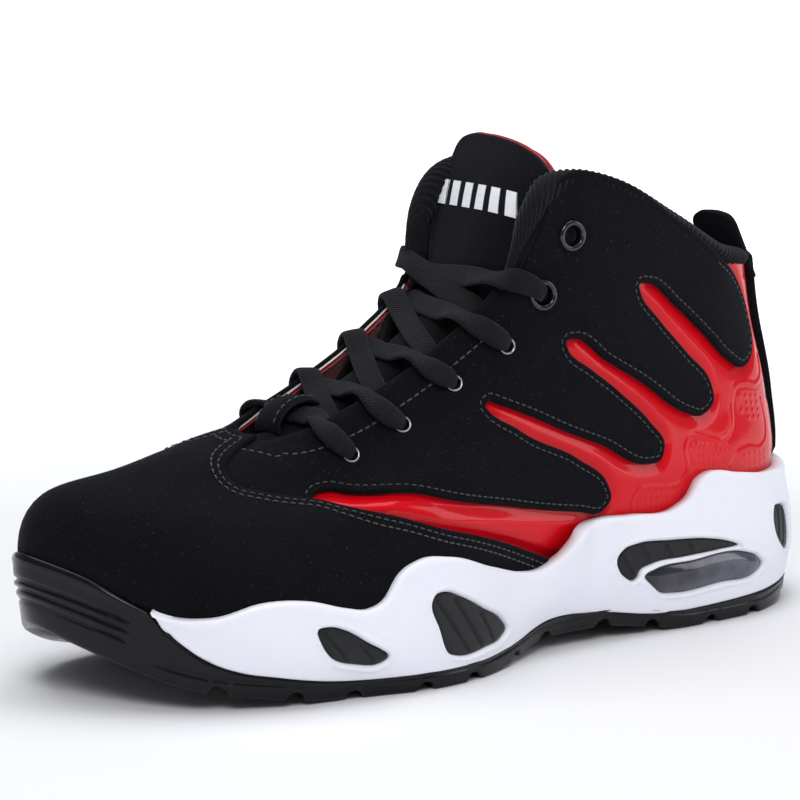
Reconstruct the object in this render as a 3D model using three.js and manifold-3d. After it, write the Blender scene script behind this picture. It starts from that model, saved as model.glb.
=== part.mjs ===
// A left basketball high top, modelled in millimetres, +Z up: toe at -X, outer side at -Y.
//
// The upper is laid on one curved "last" surface S(t, v). t runs round the shoe from the toe (-1) along
// the outer side to the heel (0) and back along the inner side to the toe (1); v runs from the edge
// where the upper meets the sole (0) to the mouth (1). Every panel is a patch of that surface between
// two offsets, so leather, foam and lining lie in true layers. The sole is lofted from rings of its own.

import * as THREE from 'three';
import { mergeVertices } from 'three/addons/utils/BufferGeometryUtils.js';
import Module from 'manifold-3d';

const wasm = await Module();
wasm.setup();

// ---------------------------------------------------------------- driving dimensions

const GAP = 0.3;              // clearance between pieces that touch on the real shoe
const VAMP = [0.9, 2.3];      // inner and outer offset of each layer from the last surface
const QUARTER = [-1.8, 0];
const RED = [-3.7, -2.5];
const STIFFENER = [-6.2, -4.8];
const TOE_PUFF = [-1.6, -0.6];
const HEEL_STRIP = [0.4, 2.0];
const LINING = 1;             // lining thickness
const COLLAR_EDGE = 0.965;    // v where the layers stop under the collar binding
const BINDING_HEIGHT = 5.5;
const OUTSOLE_BOTTOM = 4.5;   // rubber thickness under the foot
const OUTSOLE_LIP = 3.2;      // rubber thickness where it turns up the side
const FLOOR_DROP = 0.4;       // midsole floor below the feather edge
const BOARD = 1.5;            // insole board thickness
const SOCKLINER = 5;
const TONGUE = { face: [-1.5, 0], foam: [-7.4, -2], lining: [-8.9, -7.9] };
const LACE = { width: 4.6, thickness: 2.4 };
const STATION = 1 / 30;       // spacing in t shared by all layers, so that their facets line up
const PLANE = { t: 300, v: 100 };  // millimetres of the flat pattern for one unit of t and of v
const FACET = 11.7;           // facet height on the flat pattern
const PLACE = [-6.3, 3.9, 0];     // moves the last's own frame to the middle of the shoe's footprint

// Rings: [s, x, half width, z], where s = |t|.
const FEATHER = [
  [0, 145, 0, 22], [0.09, 137, 17, 22], [0.18, 118, 28, 21], [0.28, 92, 32, 19], [0.42, 50, 31, 18],
  [0.54, 10, 32, 17], [0.66, -30, 41, 15], [0.75, -60, 46, 14], [0.84, -90, 45, 16],
  [0.92, -116, 34, 22], [0.97, -132, 19, 28], [1, -140, 0, 32]];
const LOW = [
  [0, 155, 0, 46], [0.09, 146, 20, 46], [0.18, 123, 32, 46], [0.28, 92, 36, 46], [0.42, 50, 37, 44],
  [0.54, 10, 39, 41], [0.66, -30, 47, 34], [0.75, -60, 51, 30], [0.84, -90, 50, 33],
  [0.92, -118, 37, 39], [0.97, -135, 20, 45], [1, -143, 0, 48]];
const MIDDLE = [
  [0, 154, 0, 74], [0.09, 145, 18, 74], [0.18, 122, 29, 75], [0.28, 92, 34, 77], [0.42, 52, 36, 78],
  [0.54, 15, 36, 73], [0.66, -25, 41, 62], [0.75, -57, 44, 54], [0.84, -86, 40, 53],
  [0.92, -112, 30, 57], [0.97, -129, 17, 61], [1, -137, 0, 63]];
const HIGH = [
  [0, 148, 0, 102], [0.09, 139, 16, 102], [0.18, 118, 26, 105], [0.28, 92, 31, 111], [0.42, 56, 34, 113],
  [0.54, 24, 32, 103], [0.66, -12, 30, 84], [0.75, -44, 29, 70], [0.84, -74, 26, 66],
  [0.92, -94, 19, 67], [0.97, -106, 11, 69], [1, -112, 0, 70]];
const MOUTH_OUTER = [
  [0, 144, 0, 124], [0.09, 136.5, 15, 124], [0.18, 118, 26, 128], [0.28, 91, 32, 143], [0.36, 66, 34, 157],
  [0.42, 46, 33, 163], [0.48, 31, 31, 161], [0.54, 22, 28, 148], [0.6, 15, 25, 128], [0.7, -11, 20.5, 105.5],
  [0.8, -38, 18.5, 91.5], [0.9, -60, 13.5, 82], [0.97, -68, 7, 79.5], [1, -70, 0, 79.5]];
const MOUTH_INNER = [
  [0, 144, 0, 124], [0.09, 136.5, 15, 124], [0.18, 118, 26, 128], [0.28, 91, 32, 143], [0.36, 66, 34, 157],
  [0.42, 46, 33, 163], [0.48, 27, 31, 161], [0.54, 16, 28, 149], [0.6, 12, 25, 127], [0.7, -13, 20, 107],
  [0.8, -38, 17, 94], [0.9, -59, 13, 85], [0.97, -68, 7, 81], [1, -70, 0, 79.5]];
const GROUND = [   // lower outer edge of the outsole
  [0, 156, 0, 5], [0.09, 148, 23, 3], [0.18, 126, 37, 0], [0.28, 92, 40, 0], [0.42, 50, 36, 5],
  [0.5, 24, 36, 4], [0.56, 4, 45, 1], [0.61, -12, 51, 0], [0.67, -33, 54, 0], [0.75, -60, 51, 0],
  [0.84, -90, 50, 3], [0.92, -119, 39, 9], [0.97, -136, 21, 18], [1, -143, 0, 23]];
const WAIST = [    // widest line of the sole's side
  [0, 161, 0, 27], [0.09, 152, 23, 25], [0.18, 129, 39, 22], [0.28, 95, 43, 20], [0.42, 50, 40, 20],
  [0.5, 24, 41, 17], [0.56, 4, 46, 16], [0.61, -12, 52, 15], [0.67, -33, 56, 15], [0.75, -60, 57, 15],
  [0.84, -90, 54, 18], [0.92, -119, 41, 26], [0.97, -137, 22, 34], [1, -147, 0, 39]];
const AXIS = [     // y of the shoe's curved centre line at each x
  [-160, 15], [-152, 12], [-140, 9], [-120, 3.5], [-90, -1], [-60, -4], [-30, -6], [10, -5.5],
  [50, -3], [110, 0], [160, 0]];
const LEVELS = [0, 0.2, 0.45, 0.72, 1];   // v of the feather, low, middle, high and mouth rings

// Sole tables: [s, value].
const RIM = [      // v that the midsole's wavy rim reaches
  [0, 0.235], [0.16, 0.23], [0.21, 0.25], [0.27, 0.265], [0.29, 0.23], [0.307, 0.168], [0.37, 0.188],
  [0.43, 0.198], [0.456, 0.185], [0.48, 0.138], [0.505, 0.118], [0.534, 0.13], [0.585, 0.185],
  [0.646, 0.265], [0.684, 0.29], [0.709, 0.273], [0.727, 0.22], [0.745, 0.203], [0.77, 0.212],
  [0.811, 0.23], [0.855, 0.208], [0.892, 0.145], [0.926, 0.118], [0.95, 0.14], [0.966, 0.17], [1, 0.195]];
const RUBBER_TOP = [   // height that the outsole climbs to on the side
  [0, 10], [0.1, 9], [0.2, 7.5], [0.28, 5.5], [0.35, 6], [0.42, 9.5], [0.49, 11.5], [0.55, 7], [0.6, 5.5],
  [0.7, 5.5], [0.77, 6.5], [0.84, 10.5], [0.873, 13], [0.896, 16.6], [0.913, 21.4], [0.923, 25.5],
  [0.932, 32], [0.94, 60], [1, 60]];

// Edges of the panels on the flat pattern: [s, v].
const FINGERS = [  // rear edge of the quarter: four fingers between three slits, and the long front slit
  [0.2, 0.965], [0.165, 0.93], [0.138, 0.86], [0.117, 0.74], [0.115, 0.65], [0.13, 0.585], [0.155, 0.55],
  [0.184, 0.575], [0.225, 0.645], [0.281, 0.722], [0.338, 0.777], [0.357, 0.772], [0.354, 0.75],
  [0.322, 0.69], [0.267, 0.595], [0.23, 0.515], [0.227, 0.458], [0.25, 0.417], [0.273, 0.43],
  [0.339, 0.51], [0.418, 0.603], [0.472, 0.69], [0.486, 0.694], [0.483, 0.675], [0.44, 0.588],
  [0.388, 0.503], [0.339, 0.42], [0.314, 0.352], [0.321, 0.31], [0.344, 0.305], [0.409, 0.372],
  [0.496, 0.473], [0.582, 0.628], [0.597, 0.662], [0.601, 0.652], [0.596, 0.632], [0.539, 0.49],
  [0.451, 0.36], [0.408, 0.285], [0.4, 0.238], [0.414, 0.208], [0.448, 0.225], [0.531, 0.283],
  [0.655, 0.438], [0.757, 0.647], [0.783, 0.69], [0.797, 0.68], [0.797, 0.647]];
const QUARTER_FRONT = [  // front edge of the quarter, tucked under the vamp
  [0.805, 0.6], [0.83, 0.6], [0.87, 0.64], [0.905, 0.67], [0.935, 0.72], [0.96, 0.78], [0.972, 0.85],
  [0.982, 0.93], [0.985, 1]];
const THROAT_EDGE = [[0.985, 1], [0.61, 1]];
const COLLAR_TOP = [[0.575, COLLAR_EDGE], [0.2, COLLAR_EDGE]];
const VAMP_EDGE = [      // top line of the vamp, from the sole up to the throat
  [0.46, 0.085], [0.474, 0.105], [0.525, 0.173], [0.593, 0.265], [0.672, 0.378], [0.755, 0.547],
  [0.795, 0.64], [0.83, 0.682], [0.862, 0.715], [0.89, 0.74], [0.915, 0.785], [0.937, 0.835],
  [0.95, 0.88], [0.963, 0.94], [0.972, 1]];
const RED_TOP = [[0.02, 0.965], [0.2, 0.965], [0.3, 0.9], [0.36, 0.86], [0.5, 0.74], [0.6, 0.69], [0.83, 0.66]];
const RED_BOTTOM = [[0.02, 0.04], [0.46, 0.04], [0.5, 0.06], [0.6, 0.15], [0.7, 0.28], [0.78, 0.45], [0.83, 0.55]];

// Recessed panels in the midsole's side: [s, z] outlines.
const WINDOWS = {
  forefoot: [[0.805, 25.9], [0.793, 26.5], [0.777, 25], [0.752, 20], [0.727, 13], [0.736, 11.3], [0.761, 12],
    [0.789, 15.4], [0.801, 20.6]],
  midfoot: [[0.662, 29.7], [0.65, 31.5], [0.626, 28.3], [0.595, 22.7], [0.565, 17.5], [0.556, 13.5],
    [0.566, 10.8], [0.594, 10], [0.634, 10.8], [0.644, 12], [0.66, 21]],
  heel: [[0.399, 29], [0.39, 31.7], [0.37, 33], [0.322, 32.5], [0.272, 31], [0.242, 28.6], [0.23, 26.8],
    [0.255, 26.2], [0.304, 26], [0.352, 25.2], [0.366, 24.2], [0.383, 24.6], [0.397, 26.2]],
  rear: [[0.157, 36], [0.14, 36.5], [0.122, 35], [0.118, 27], [0.119, 19.5], [0.14, 20.5], [0.154, 23],
    [0.166, 28], [0.165, 32.6]],
};
const AIR_WINDOW = [[0.362, 21.4], [0.348, 23], [0.297, 23.9], [0.224, 23.6], [0.203, 21.2], [0.193, 17.8],
  [0.202, 15.5], [0.253, 14.2], [0.321, 13.4], [0.335, 14], [0.351, 17.6]];
const AIR_TUNNEL = { x: [84, 104], y: [-41.5, 40.4], z: [14.8, 17.6] };
const WINDOW_DEPTH = 2.7;
const WINDOW_FACE = -0.9;

// Eyelets from the throat's base up: [s, v]. The upper two are set in metal rings.
const EYELETS = [[0.77, 0.8], [0.714, 0.81], [0.654, 0.82], [0.578, 0.785], [0.518, 0.82], [0.457, 0.885]];
const THROAT_EXITS = [0.825, 0.778, 0.7, 0.643, 0.605];  // s where the lace crosses the throat's edge
const RING_EYELETS = 2;
const SMALL_HOLE = 3.7;
const RING_HOLE = 4.45;

// Tongue centre line: [length along it, x, z].
const TONGUE_LINE = [[0, -66, 76.5], [15, -52, 82], [40, -30, 93], [67, -6, 106], [88, 10, 119.5],
  [106, 19, 135], [125, 27, 152.5], [145, 37, 170]];
const TONGUE_CROWN = [[0, 0.012], [15, 0.02], [90, 0.02], [125, 0.01], [145, 0.006]];
const TONGUE_SIDE = [[0, 7], [8, 10], [20, 12.5], [40, 14.3], [70, 15], [90, 16.5], [105, 18], [125, 21], [136, 22],
  [143, 23]];
const TONGUE_TOP = [[23, 139], [21, 142.5], [12, 145], [0, 146]];
const CROSSINGS = [37, 54, 71, 88];   // where the lace's runs cross, as lengths along the tongue
const KEEPER = { at: 17, halfLength: 10, height: 8, halfWidth: 10.5, wall: 1.7 };
const TAIL = [[0.5, 0.72], [0.46, 0.62], [0.41, 0.53], [0.36, 0.46], [0.31, 0.4], [0.27, 0.33],
  [0.255, 0.26], [0.28, 0.21], [0.33, 0.19], [0.39, 0.19]];
const AGLET = { radius: 1.7, length: 20 };
const PULL_TAB = { x: 150.2, z: 119, width: 24, height: 20.5, thickness: 3.6, lean: 0.36 };
const SHANK = { x: [-22, 78], y: [-14, 8], z: [12.6, 14.2] };

// ---------------------------------------------------------------- curves and surfaces

/** Smooth curve through rows [x, ...values]; returns the values at x. */
function through(rows, x) {
  const last = rows.length - 1;
  const at = Math.min(Math.max(x, rows[0][0]), rows[last][0]);
  let i = 0;
  while (i < last - 1 && at >= rows[i + 1][0]) i += 1;
  const slope = (k, c) => (rows[k + 1][c] - rows[k][c]) / (rows[k + 1][0] - rows[k][0]);
  const tangent = (k, c) => {
    if (k === 0) return slope(0, c);
    if (k === last) return slope(last - 1, c);
    const before = rows[k][0] - rows[k - 1][0];
    const after = rows[k + 1][0] - rows[k][0];
    return (after * slope(k - 1, c) + before * slope(k, c)) / (before + after);
  };
  const h = rows[i + 1][0] - rows[i][0];
  const p = (at - rows[i][0]) / h;
  const values = [];
  for (let c = 1; c < rows[0].length; c += 1) {
    values.push((2 * p ** 3 - 3 * p ** 2 + 1) * rows[i][c] + (p ** 3 - 2 * p ** 2 + p) * h * tangent(i, c)
      + (3 * p ** 2 - 2 * p ** 3) * rows[i + 1][c] + (p ** 3 - p ** 2) * h * tangent(i + 1, c));
  }
  return values;
}

const value = (rows, x) => through(rows, x)[0];
const step = (from, to, x) => THREE.MathUtils.smoothstep((x - from) / (to - from), 0, 1);

/** Closes a ring table over both sides of the shoe, with neighbours past the toe for smoothness. */
function ring(outer, inner = outer) {
  const rows = [...outer.map(([s, x, w, z]) => [-s, x, -w, z]).reverse(), ...inner.slice(1)];
  const shifted = (list, by) => list.map(([t, ...rest]) => [t + by, ...rest]);
  return [...shifted(rows.slice(-3, -1), -2), ...rows, ...shifted(rows.slice(1, 3), 2)];
}

const RINGS = [ring(FEATHER), ring(LOW), ring(MIDDLE), ring(HIGH), ring(MOUTH_OUTER, MOUTH_INNER)];
const GROUND_RING = ring(GROUND);
const WAIST_RING = ring(WAIST);

const wrap = (t) => ((((t + 1) % 2) + 2) % 2) - 1;
const side = (t) => Math.abs(wrap(t));

function onRing(rows, t) {
  const [x, w, z] = through(rows, wrap(t));
  return new THREE.Vector3(x, value(AXIS, x) + w, z);
}

/** Point of a surface given by point(t, v), moved outwards by offset. */
function lifted(point, t, v, offset) {
  const p = point(t, v);
  if (!offset) return p;
  const dt = 0.004;
  const dv = 0.01;
  const low = Math.max(v - dv, 0);
  const high = Math.min(v + dv, 1);
  const along = point(t + dt, v).sub(point(t - dt, v));
  const up = point(t, high).sub(point(t, low));
  return p.addScaledVector(along.cross(up).normalize(), offset);
}

function lastPoint(t, v) {
  const rows = RINGS.map((rows_, k) => [LEVELS[k], ...onRing(rows_, t).toArray()]);
  return new THREE.Vector3(...through(rows, v));
}

const last = (t, v, offset = 0) => lifted(lastPoint, t, v, offset);

function lastNormal(t, v) {
  return last(t, v, 1).sub(last(t, v)).normalize();
}

/** Depth of the lining's outer face under the last surface: thin at toe and eyelets, padded at the collar. */
function liningDepth(t, v) {
  const s = side(t);
  const behindRed = Math.max(step(0.92, 0.86, s) * step(0.82, 0.74, v), step(0.56, 0.46, s));
  const padded = Math.max(step(0.8, 0.74, s) * step(0.72, 0.58, v), step(0.54, 0.44, s));
  return 2.8 + 2 * behindRed + 2.2 * padded + 4 * step(0.46, 0.32, s) * step(0.42, 0.85, v);
}

/** The upper's own outer offset where the midsole's rim hugs it: over the vamp, or over the red panel. */
const hugged = (s) => THREE.MathUtils.lerp(-1.6, 3.1, step(0.425, 0.462, s));
const rimOuter = (t) => last(t, value(RIM, side(t)), hugged(side(t)) + THREE.MathUtils.lerp(4.6, 2.4, step(0.4, 0.5, side(t))));

function groundPoint(t) {
  const p = onRing(GROUND_RING, t);
  p.z = Math.max(p.z, 0);
  return p;
}

/** The sole's side: u = 0 at the ground edge, 1 at the rim. */
function wallPoint(t, u) {
  const rows = [[0, ...groundPoint(t).toArray()], [0.45, ...onRing(WAIST_RING, t).toArray()],
    [1, ...rimOuter(t).toArray()]];
  return new THREE.Vector3(...through(rows, u));
}

function wallHeight(t, z) {
  let low = 0;
  let high = 1;
  for (let i = 0; i < 24; i += 1) {
    const middle = (low + high) / 2;
    if (wallPoint(t, middle).z < z) low = middle;
    else high = middle;
  }
  return (low + high) / 2;
}

const wall = (t, z, offset = 0) => lifted(wallPoint, t, wallHeight(t, z), offset);

// ---------------------------------------------------------------- solids

/** Geometry from points and triangles, without the triangles that collapse to a line. */
function fromTriangles(points, triangles, tolerance = 1e-3) {
  const soup = new THREE.BufferGeometry();
  soup.setAttribute('position', new THREE.Float32BufferAttribute(points.flatMap((p) => [p.x, p.y, p.z]), 3));
  soup.setIndex(triangles.flat());
  const solid = mergeVertices(soup, tolerance);
  const index = solid.index.array;
  const kept = [];
  for (let i = 0; i < index.length; i += 3) {
    const [a, b, c] = [index[i], index[i + 1], index[i + 2]];
    if (a !== b && b !== c && c !== a) kept.push(a, b, c);
  }
  solid.setIndex(kept);
  return outwards(solid);
}

/** Same solid with shared corners and nothing but positions. */
function merged(geometry, tolerance = 1e-3) {
  geometry.deleteAttribute('normal');
  geometry.deleteAttribute('uv');
  return outwards(mergeVertices(geometry, tolerance));
}

/** Turns a closed geometry's faces outwards if its volume comes out negative. */
function outwards(geometry) {
  const p = geometry.attributes.position;
  const index = Array.from(geometry.index.array);
  const [a, b, c] = [0, 1, 2].map(() => new THREE.Vector3());
  let volume = 0;
  for (let i = 0; i < index.length; i += 3) {
    a.fromBufferAttribute(p, index[i]);
    b.fromBufferAttribute(p, index[i + 1]);
    c.fromBufferAttribute(p, index[i + 2]);
    volume += a.dot(b.cross(c));
  }
  if (volume < 0) {
    for (let i = 0; i < index.length; i += 3) [index[i], index[i + 1]] = [index[i + 1], index[i]];
    geometry.setIndex(index);
  }
  return geometry;
}

/** Closed body between rings of points that all go once round the shoe; the end rings fold flat. */
function loft(rings) {
  const n = rings[0].length;
  const triangles = [];
  for (let r = 0; r + 1 < rings.length; r += 1) {
    for (let i = 0; i < n; i += 1) {
      const j = (i + 1) % n;
      const [a, b, c, d] = [r * n + i, r * n + j, (r + 1) * n + j, (r + 1) * n + i];
      triangles.push([a, b, c], [a, c, d]);
    }
  }
  return fromTriangles(rings.flat(), triangles);
}

/** Closed body swept along a row of sections, each a closed loop of points, with flat ends. */
function sweep(sections) {
  const n = sections[0].length;
  const triangles = [];
  for (let s = 0; s + 1 < sections.length; s += 1) {
    for (let i = 0; i < n; i += 1) {
      const j = (i + 1) % n;
      const [a, b, c, d] = [s * n + i, s * n + j, (s + 1) * n + j, (s + 1) * n + i];
      triangles.push([a, b, c], [a, c, d]);
    }
  }
  const end = (sections.length - 1) * n;
  for (let i = 1; i + 1 < n; i += 1) {
    triangles.push([0, i + 1, i], [end, end + i, end + i + 1]);
  }
  return fromTriangles(sections.flat(), triangles);
}

/** Multiples of `spacing` strictly between two limits, with the limits themselves at the ends. */
function gridLines(low, high, spacing) {
  const lines = [low];
  for (let k = Math.ceil(low / spacing); k * spacing < high; k += 1) {
    if (k * spacing > low + spacing * 0.15 && k * spacing < high - spacing * 0.15) lines.push(k * spacing);
  }
  return [...lines, high];
}

/** Shared stations from t0 to t1. */
const across = (t0, t1) => gridLines(Math.min(t0, t1), Math.max(t0, t1), STATION);

/** Patch of the last between two offsets, over the given stations and from bottom(s) to top(s). */
function layer(places, bottom, top, inner, outer, rows = 6) {
  const columns = places.length - 1;
  const points = [];
  const triangles = [];
  const at = (face, i, j) => (face * (columns + 1) + i) * (rows + 1) + j;
  for (const offset of [inner, outer]) {
    for (let i = 0; i <= columns; i += 1) {
      const t = places[i];
      const [low, high] = [bottom(side(t)), top(side(t))];
      for (let j = 0; j <= rows; j += 1) {
        const v = low + (high - low) * j / rows;
        points.push(last(t, v, offset(t, v)));
      }
    }
  }
  const quad = (a, b, c, d) => triangles.push([a, b, c], [a, c, d]);
  for (let i = 0; i < columns; i += 1) {
    for (let j = 0; j < rows; j += 1) {
      quad(at(1, i, j), at(1, i + 1, j), at(1, i + 1, j + 1), at(1, i, j + 1));
      quad(at(0, i, j), at(0, i, j + 1), at(0, i + 1, j + 1), at(0, i + 1, j));
    }
    quad(at(0, i, 0), at(0, i + 1, 0), at(1, i + 1, 0), at(1, i, 0));
    quad(at(1, i, rows), at(1, i + 1, rows), at(0, i + 1, rows), at(0, i, rows));
  }
  for (let j = 0; j < rows; j += 1) {
    quad(at(0, 0, j), at(1, 0, j), at(1, 0, j + 1), at(0, 0, j + 1));
    quad(at(1, columns, j), at(0, columns, j), at(0, columns, j + 1), at(1, columns, j + 1));
  }
  return fromTriangles(points, triangles);
}

/** Points of a smooth open or closed line through [a, b] pairs, about `spacing` apart. */
function smoothLine(pairs, spacing, closed = false) {
  const line = closed ? [...pairs, pairs[0]] : pairs;
  const vectors = line.map(([a, b]) => new THREE.Vector2(a, b));
  let length = 0;
  const rows = vectors.map((p, i) => {
    if (i) length += p.distanceTo(vectors[i - 1]);
    return [length, p.x, p.y];
  });
  if (closed) {
    const n = rows.length;
    const before = rows.slice(n - 3, n - 1).map(([l, a, b]) => [l - length, a, b]);
    const after = rows.slice(1, 3).map(([l, a, b]) => [l + length, a, b]);
    rows.unshift(...before);
    rows.push(...after);
  }
  const count = Math.max(line.length, Math.round(length / spacing));
  const points = [];
  for (let i = 0; i <= count - (closed ? 1 : 0); i += 1) {
    points.push(new THREE.Vector2(...through(rows, length * i / count)));
  }
  return points;
}

/** Flat outline cut from stretches of [a, b] pairs, each smooth, with corners between them. */
function outline(stretches, spacing = 9) {
  const points = [];
  for (const stretch of stretches) {
    const line = stretch.length > 2 ? smoothLine(stretch, spacing) : stretch.map((p) => new THREE.Vector2(...p));
    const joined = points.length && points[points.length - 1].distanceTo(line[0]) < 0.01;
    points.push(...(joined ? line.slice(1) : line));
  }
  if (points[0].distanceTo(points[points.length - 1]) < 0.01) points.pop();
  return new THREE.Shape(points);
}

/** Splits triangles whose open edge has another open corner lying on it. */
function closeCracks(points, triangles) {
  const edge = new THREE.Line3();
  const foot = new THREE.Vector3();
  for (let pass = 0; pass < 4; pass += 1) {
    const open = new Map();
    triangles.forEach((corners, index) => corners.forEach((from, c) => {
      const to = corners[(c + 1) % 3];
      if (!open.delete(`${to} ${from}`)) open.set(`${from} ${to}`, { from, to, far: corners[(c + 2) % 3], index });
    }));
    if (!open.size) return;
    const done = new Set();
    for (const { from, to, far, index } of open.values()) {
      edge.set(points[from], points[to]);
      const middle = [...open.values()].map((other) => other.from).find((k) => k !== from && k !== to
        && edge.closestPointToPoint(points[k], true, foot).distanceTo(points[k]) < 0.02);
      if (middle !== undefined && middle !== far && !done.has(index)) {
        triangles[index] = [from, middle, far];
        triangles.push([middle, to, far]);
        done.add(index);
      }
    }
  }
}

/**
 * Bends a flat piece onto a surface: place(a, b, offset) says where a point of the pattern goes.
 * The flat piece is first cut into small cells, whose touching walls are left out.
 */
function bent(shape, [inner, outer], place, [cellA, cellB] = [STATION * PLANE.t, FACET]) {
  const clearOf = (x, spacing) => {
    const away = x - Math.round(x / spacing) * spacing;
    return Math.abs(away) < 0.15 ? x - away + (away < 0 ? -0.15 : 0.15) : x;
  };
  const rim = shape.getPoints().map((p) => new THREE.Vector2(clearOf(p.x, cellA), clearOf(p.y, cellB)));
  const flat = toSolid(new THREE.ExtrudeGeometry(new THREE.Shape(rim), { depth: 1, bevelEnabled: false }));
  const box = new THREE.Box2().setFromPoints(rim);
  const linesA = gridLines(box.min.x - 1, box.max.x + 1, cellA);
  const linesB = gridLines(box.min.y - 1, box.max.y + 1, cellB);
  const points = [];
  const triangles = [];
  const pick = (limit, a, b) => (typeof limit === 'function' ? limit(a, b) : limit);
  const shared = (p) => {
    const known = points.findIndex((q) => q.distanceToSquared(p) < 1e-4);
    return known < 0 ? points.push(p) - 1 : known;
  };
  for (let i = 0; i + 1 < linesA.length; i += 1) {
    for (let j = 0; j + 1 < linesB.length; j += 1) {
      const cell = block([linesA[i], linesA[i + 1]], [linesB[j], linesB[j + 1]], [-1, 2]);
      const { vertProperties: p, triVerts } = flat.intersect(toSolid(cell)).getMesh();
      const isCut = (k) => [[0, linesA[i]], [0, linesA[i + 1]], [1, linesB[j]], [1, linesB[j + 1]]]
        .some(([axis, line]) => [0, 1, 2].every((c) => Math.abs(p[triVerts[k + c] * 3 + axis] - line) < 1e-4));
      const ids = [];
      for (let k = 0; k < p.length; k += 3) ids.push(shared(new THREE.Vector3(p[k], p[k + 1], p[k + 2])));
      for (let k = 0; k < triVerts.length; k += 3) {
        const corners = [0, 1, 2].map((c) => ids[triVerts[k + c]]);
        if (!isCut(k) && new Set(corners).size === 3) triangles.push(corners);
      }
    }
  }
  closeCracks(points, triangles);
  const placed = points.map(({ x, y, z }) => {
    const offset = THREE.MathUtils.lerp(pick(inner, x, y), pick(outer, x, y), z);
    return place(x, y, offset);
  });
  return fromTriangles(placed, triangles, 1e-5);
}

const toPlane = (sign) => ([s, v]) => [sign * s * PLANE.t, v * PLANE.v];
const onLast = (a, b, offset) => last(a / PLANE.t, b / PLANE.v, offset);

function toSolid(geometry) {
  const solid = merged(geometry.clone(), 1e-4);
  return new wasm.Manifold(new wasm.Mesh({
    numProp: 3,
    vertProperties: Float32Array.from(solid.attributes.position.array),
    triVerts: Uint32Array.from(solid.index.array),
  }));
}

function toGeometry(solid) {
  const { vertProperties, triVerts } = solid.getMesh();
  const geometry = new THREE.BufferGeometry();
  geometry.setAttribute('position', new THREE.BufferAttribute(vertProperties, 3));
  geometry.setIndex(new THREE.BufferAttribute(triVerts, 1));
  return geometry;
}

function cut(geometry, cutters) {
  let solid = toSolid(geometry);
  for (const cutter of cutters) solid = solid.subtract(toSolid(cutter));
  return toGeometry(solid);
}

function block([x0, x1], [y0, y1], [z0, z1]) {
  const box = new THREE.BoxGeometry(x1 - x0, y1 - y0, z1 - z0);
  return merged(box.translate((x0 + x1) / 2, (y0 + y1) / 2, (z0 + z1) / 2));
}

// ---------------------------------------------------------------- sole

const stations = Array.from({ length: 2 / STATION }, (_, i) => -1 + i * STATION);

/** The fold line that closes a ring: each point and its mirror image meet halfway. */
const spine = (points) => points.map((p, i) => p.clone().lerp(points[(points.length - i) % points.length], 0.5));

/** A ring pulled in horizontally by depth(s), at height z(t, p). */
function inset(t, p, q, depth, z) {
  const along = q.clone().sub(p);
  const out = new THREE.Vector3(along.y, -along.x, 0).normalize();
  return new THREE.Vector3(p.x, p.y, z).addScaledVector(out, -depth);
}

const insetRing = (t, point, depth, z) => inset(t, point(t), point(t + 0.004), depth, z);

/** Rubber outsole with its toe bumper. `grow` swells it a little, for cutting the midsole free of it. */
function outsoleBody(grow = 0) {
  const bumper = (t) => step(0.925, 0.95, side(t));
  const lowest = (t) => groundPoint(t).z + OUTSOLE_BOTTOM + 2;
  const topOf = (t) => Math.min(Math.max(value(RUBBER_TOP, side(t)), lowest(t)), rimOuter(t).z) + grow;
  const outer = (t, fraction) => {
    const height = THREE.MathUtils.lerp(groundPoint(t).z, topOf(t), fraction);
    return insetRing(t, (q) => wall(q, height), -4 * grow, height);
  };
  const inner = (t, height) => insetRing(t, (q) => wall(q, height), OUTSOLE_LIP + grow, height);
  const bottom = stations.map((t) => groundPoint(t).addScaledVector(new THREE.Vector3(0, 0, -1), 4 * grow));
  const lifts = (t) => new THREE.Vector3(0, 0, 10 * grow * bumper(t));
  const rise = [0.5].map((f) => stations.map((t) => outer(t, f)));
  const top = stations.map((t) => outer(t, 1).add(lifts(t)));
  const lipInner = stations.map((t) => inner(t, topOf(t))
    .lerp(last(t, value(RIM, side(t)), VAMP[1] + 0.7 - grow), bumper(t)).add(lifts(t)));
  const lipFoot = stations.map((t) => {
    const floor = groundPoint(t).z + OUTSOLE_BOTTOM + grow;
    return inner(t, THREE.MathUtils.lerp(floor, topOf(t), 0.4)).lerp(last(t, 0.02, VAMP[1] + 0.7 - grow), bumper(t));
  });
  const floor = stations.map((t) => inner(t, groundPoint(t).z + OUTSOLE_BOTTOM + grow));
  return loft([spine(bottom), bottom, ...rise, top, lipInner, lipFoot, floor, spine(floor)]);
}

function outsole() {
  const grooves = [];
  const groove = (x, width, turn) => {
    const cutter = new THREE.BoxGeometry(width, 140, 4.4);
    return cutter.rotateZ(turn).translate(x, -4, 0);
  };
  for (let i = 0; i < 7; i += 1) grooves.push(groove(-78 + i * 11, 2.6, 0.25));
  for (let i = 0; i < 5; i += 1) grooves.push(groove(80 + i * 11, 2.6, -0.2));
  return cut(outsoleBody(), grooves);
}

/** Panel in the sole's side from an [s, z] outline, drawn in by `margin` all round. */
function windowPiece(sign, pairs, offsets, margin) {
  const line = smoothLine(pairs.map(([s, z]) => [sign * s * PLANE.t, z]), 8, true);
  const turn = THREE.ShapeUtils.isClockWise(line) ? 1 : -1;
  const drawn = line.map((p, i) => {
    const along = line[(i + 1) % line.length].clone().sub(line.at(i - 1)).normalize();
    return new THREE.Vector2(p.x + along.y * margin * turn, p.y - along.x * margin * turn);
  });
  return bent(new THREE.Shape(drawn), offsets, (a, b, offset) => wall(a / PLANE.t, b, offset), [2 * PLANE.t * STATION, 12]);
}

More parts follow.
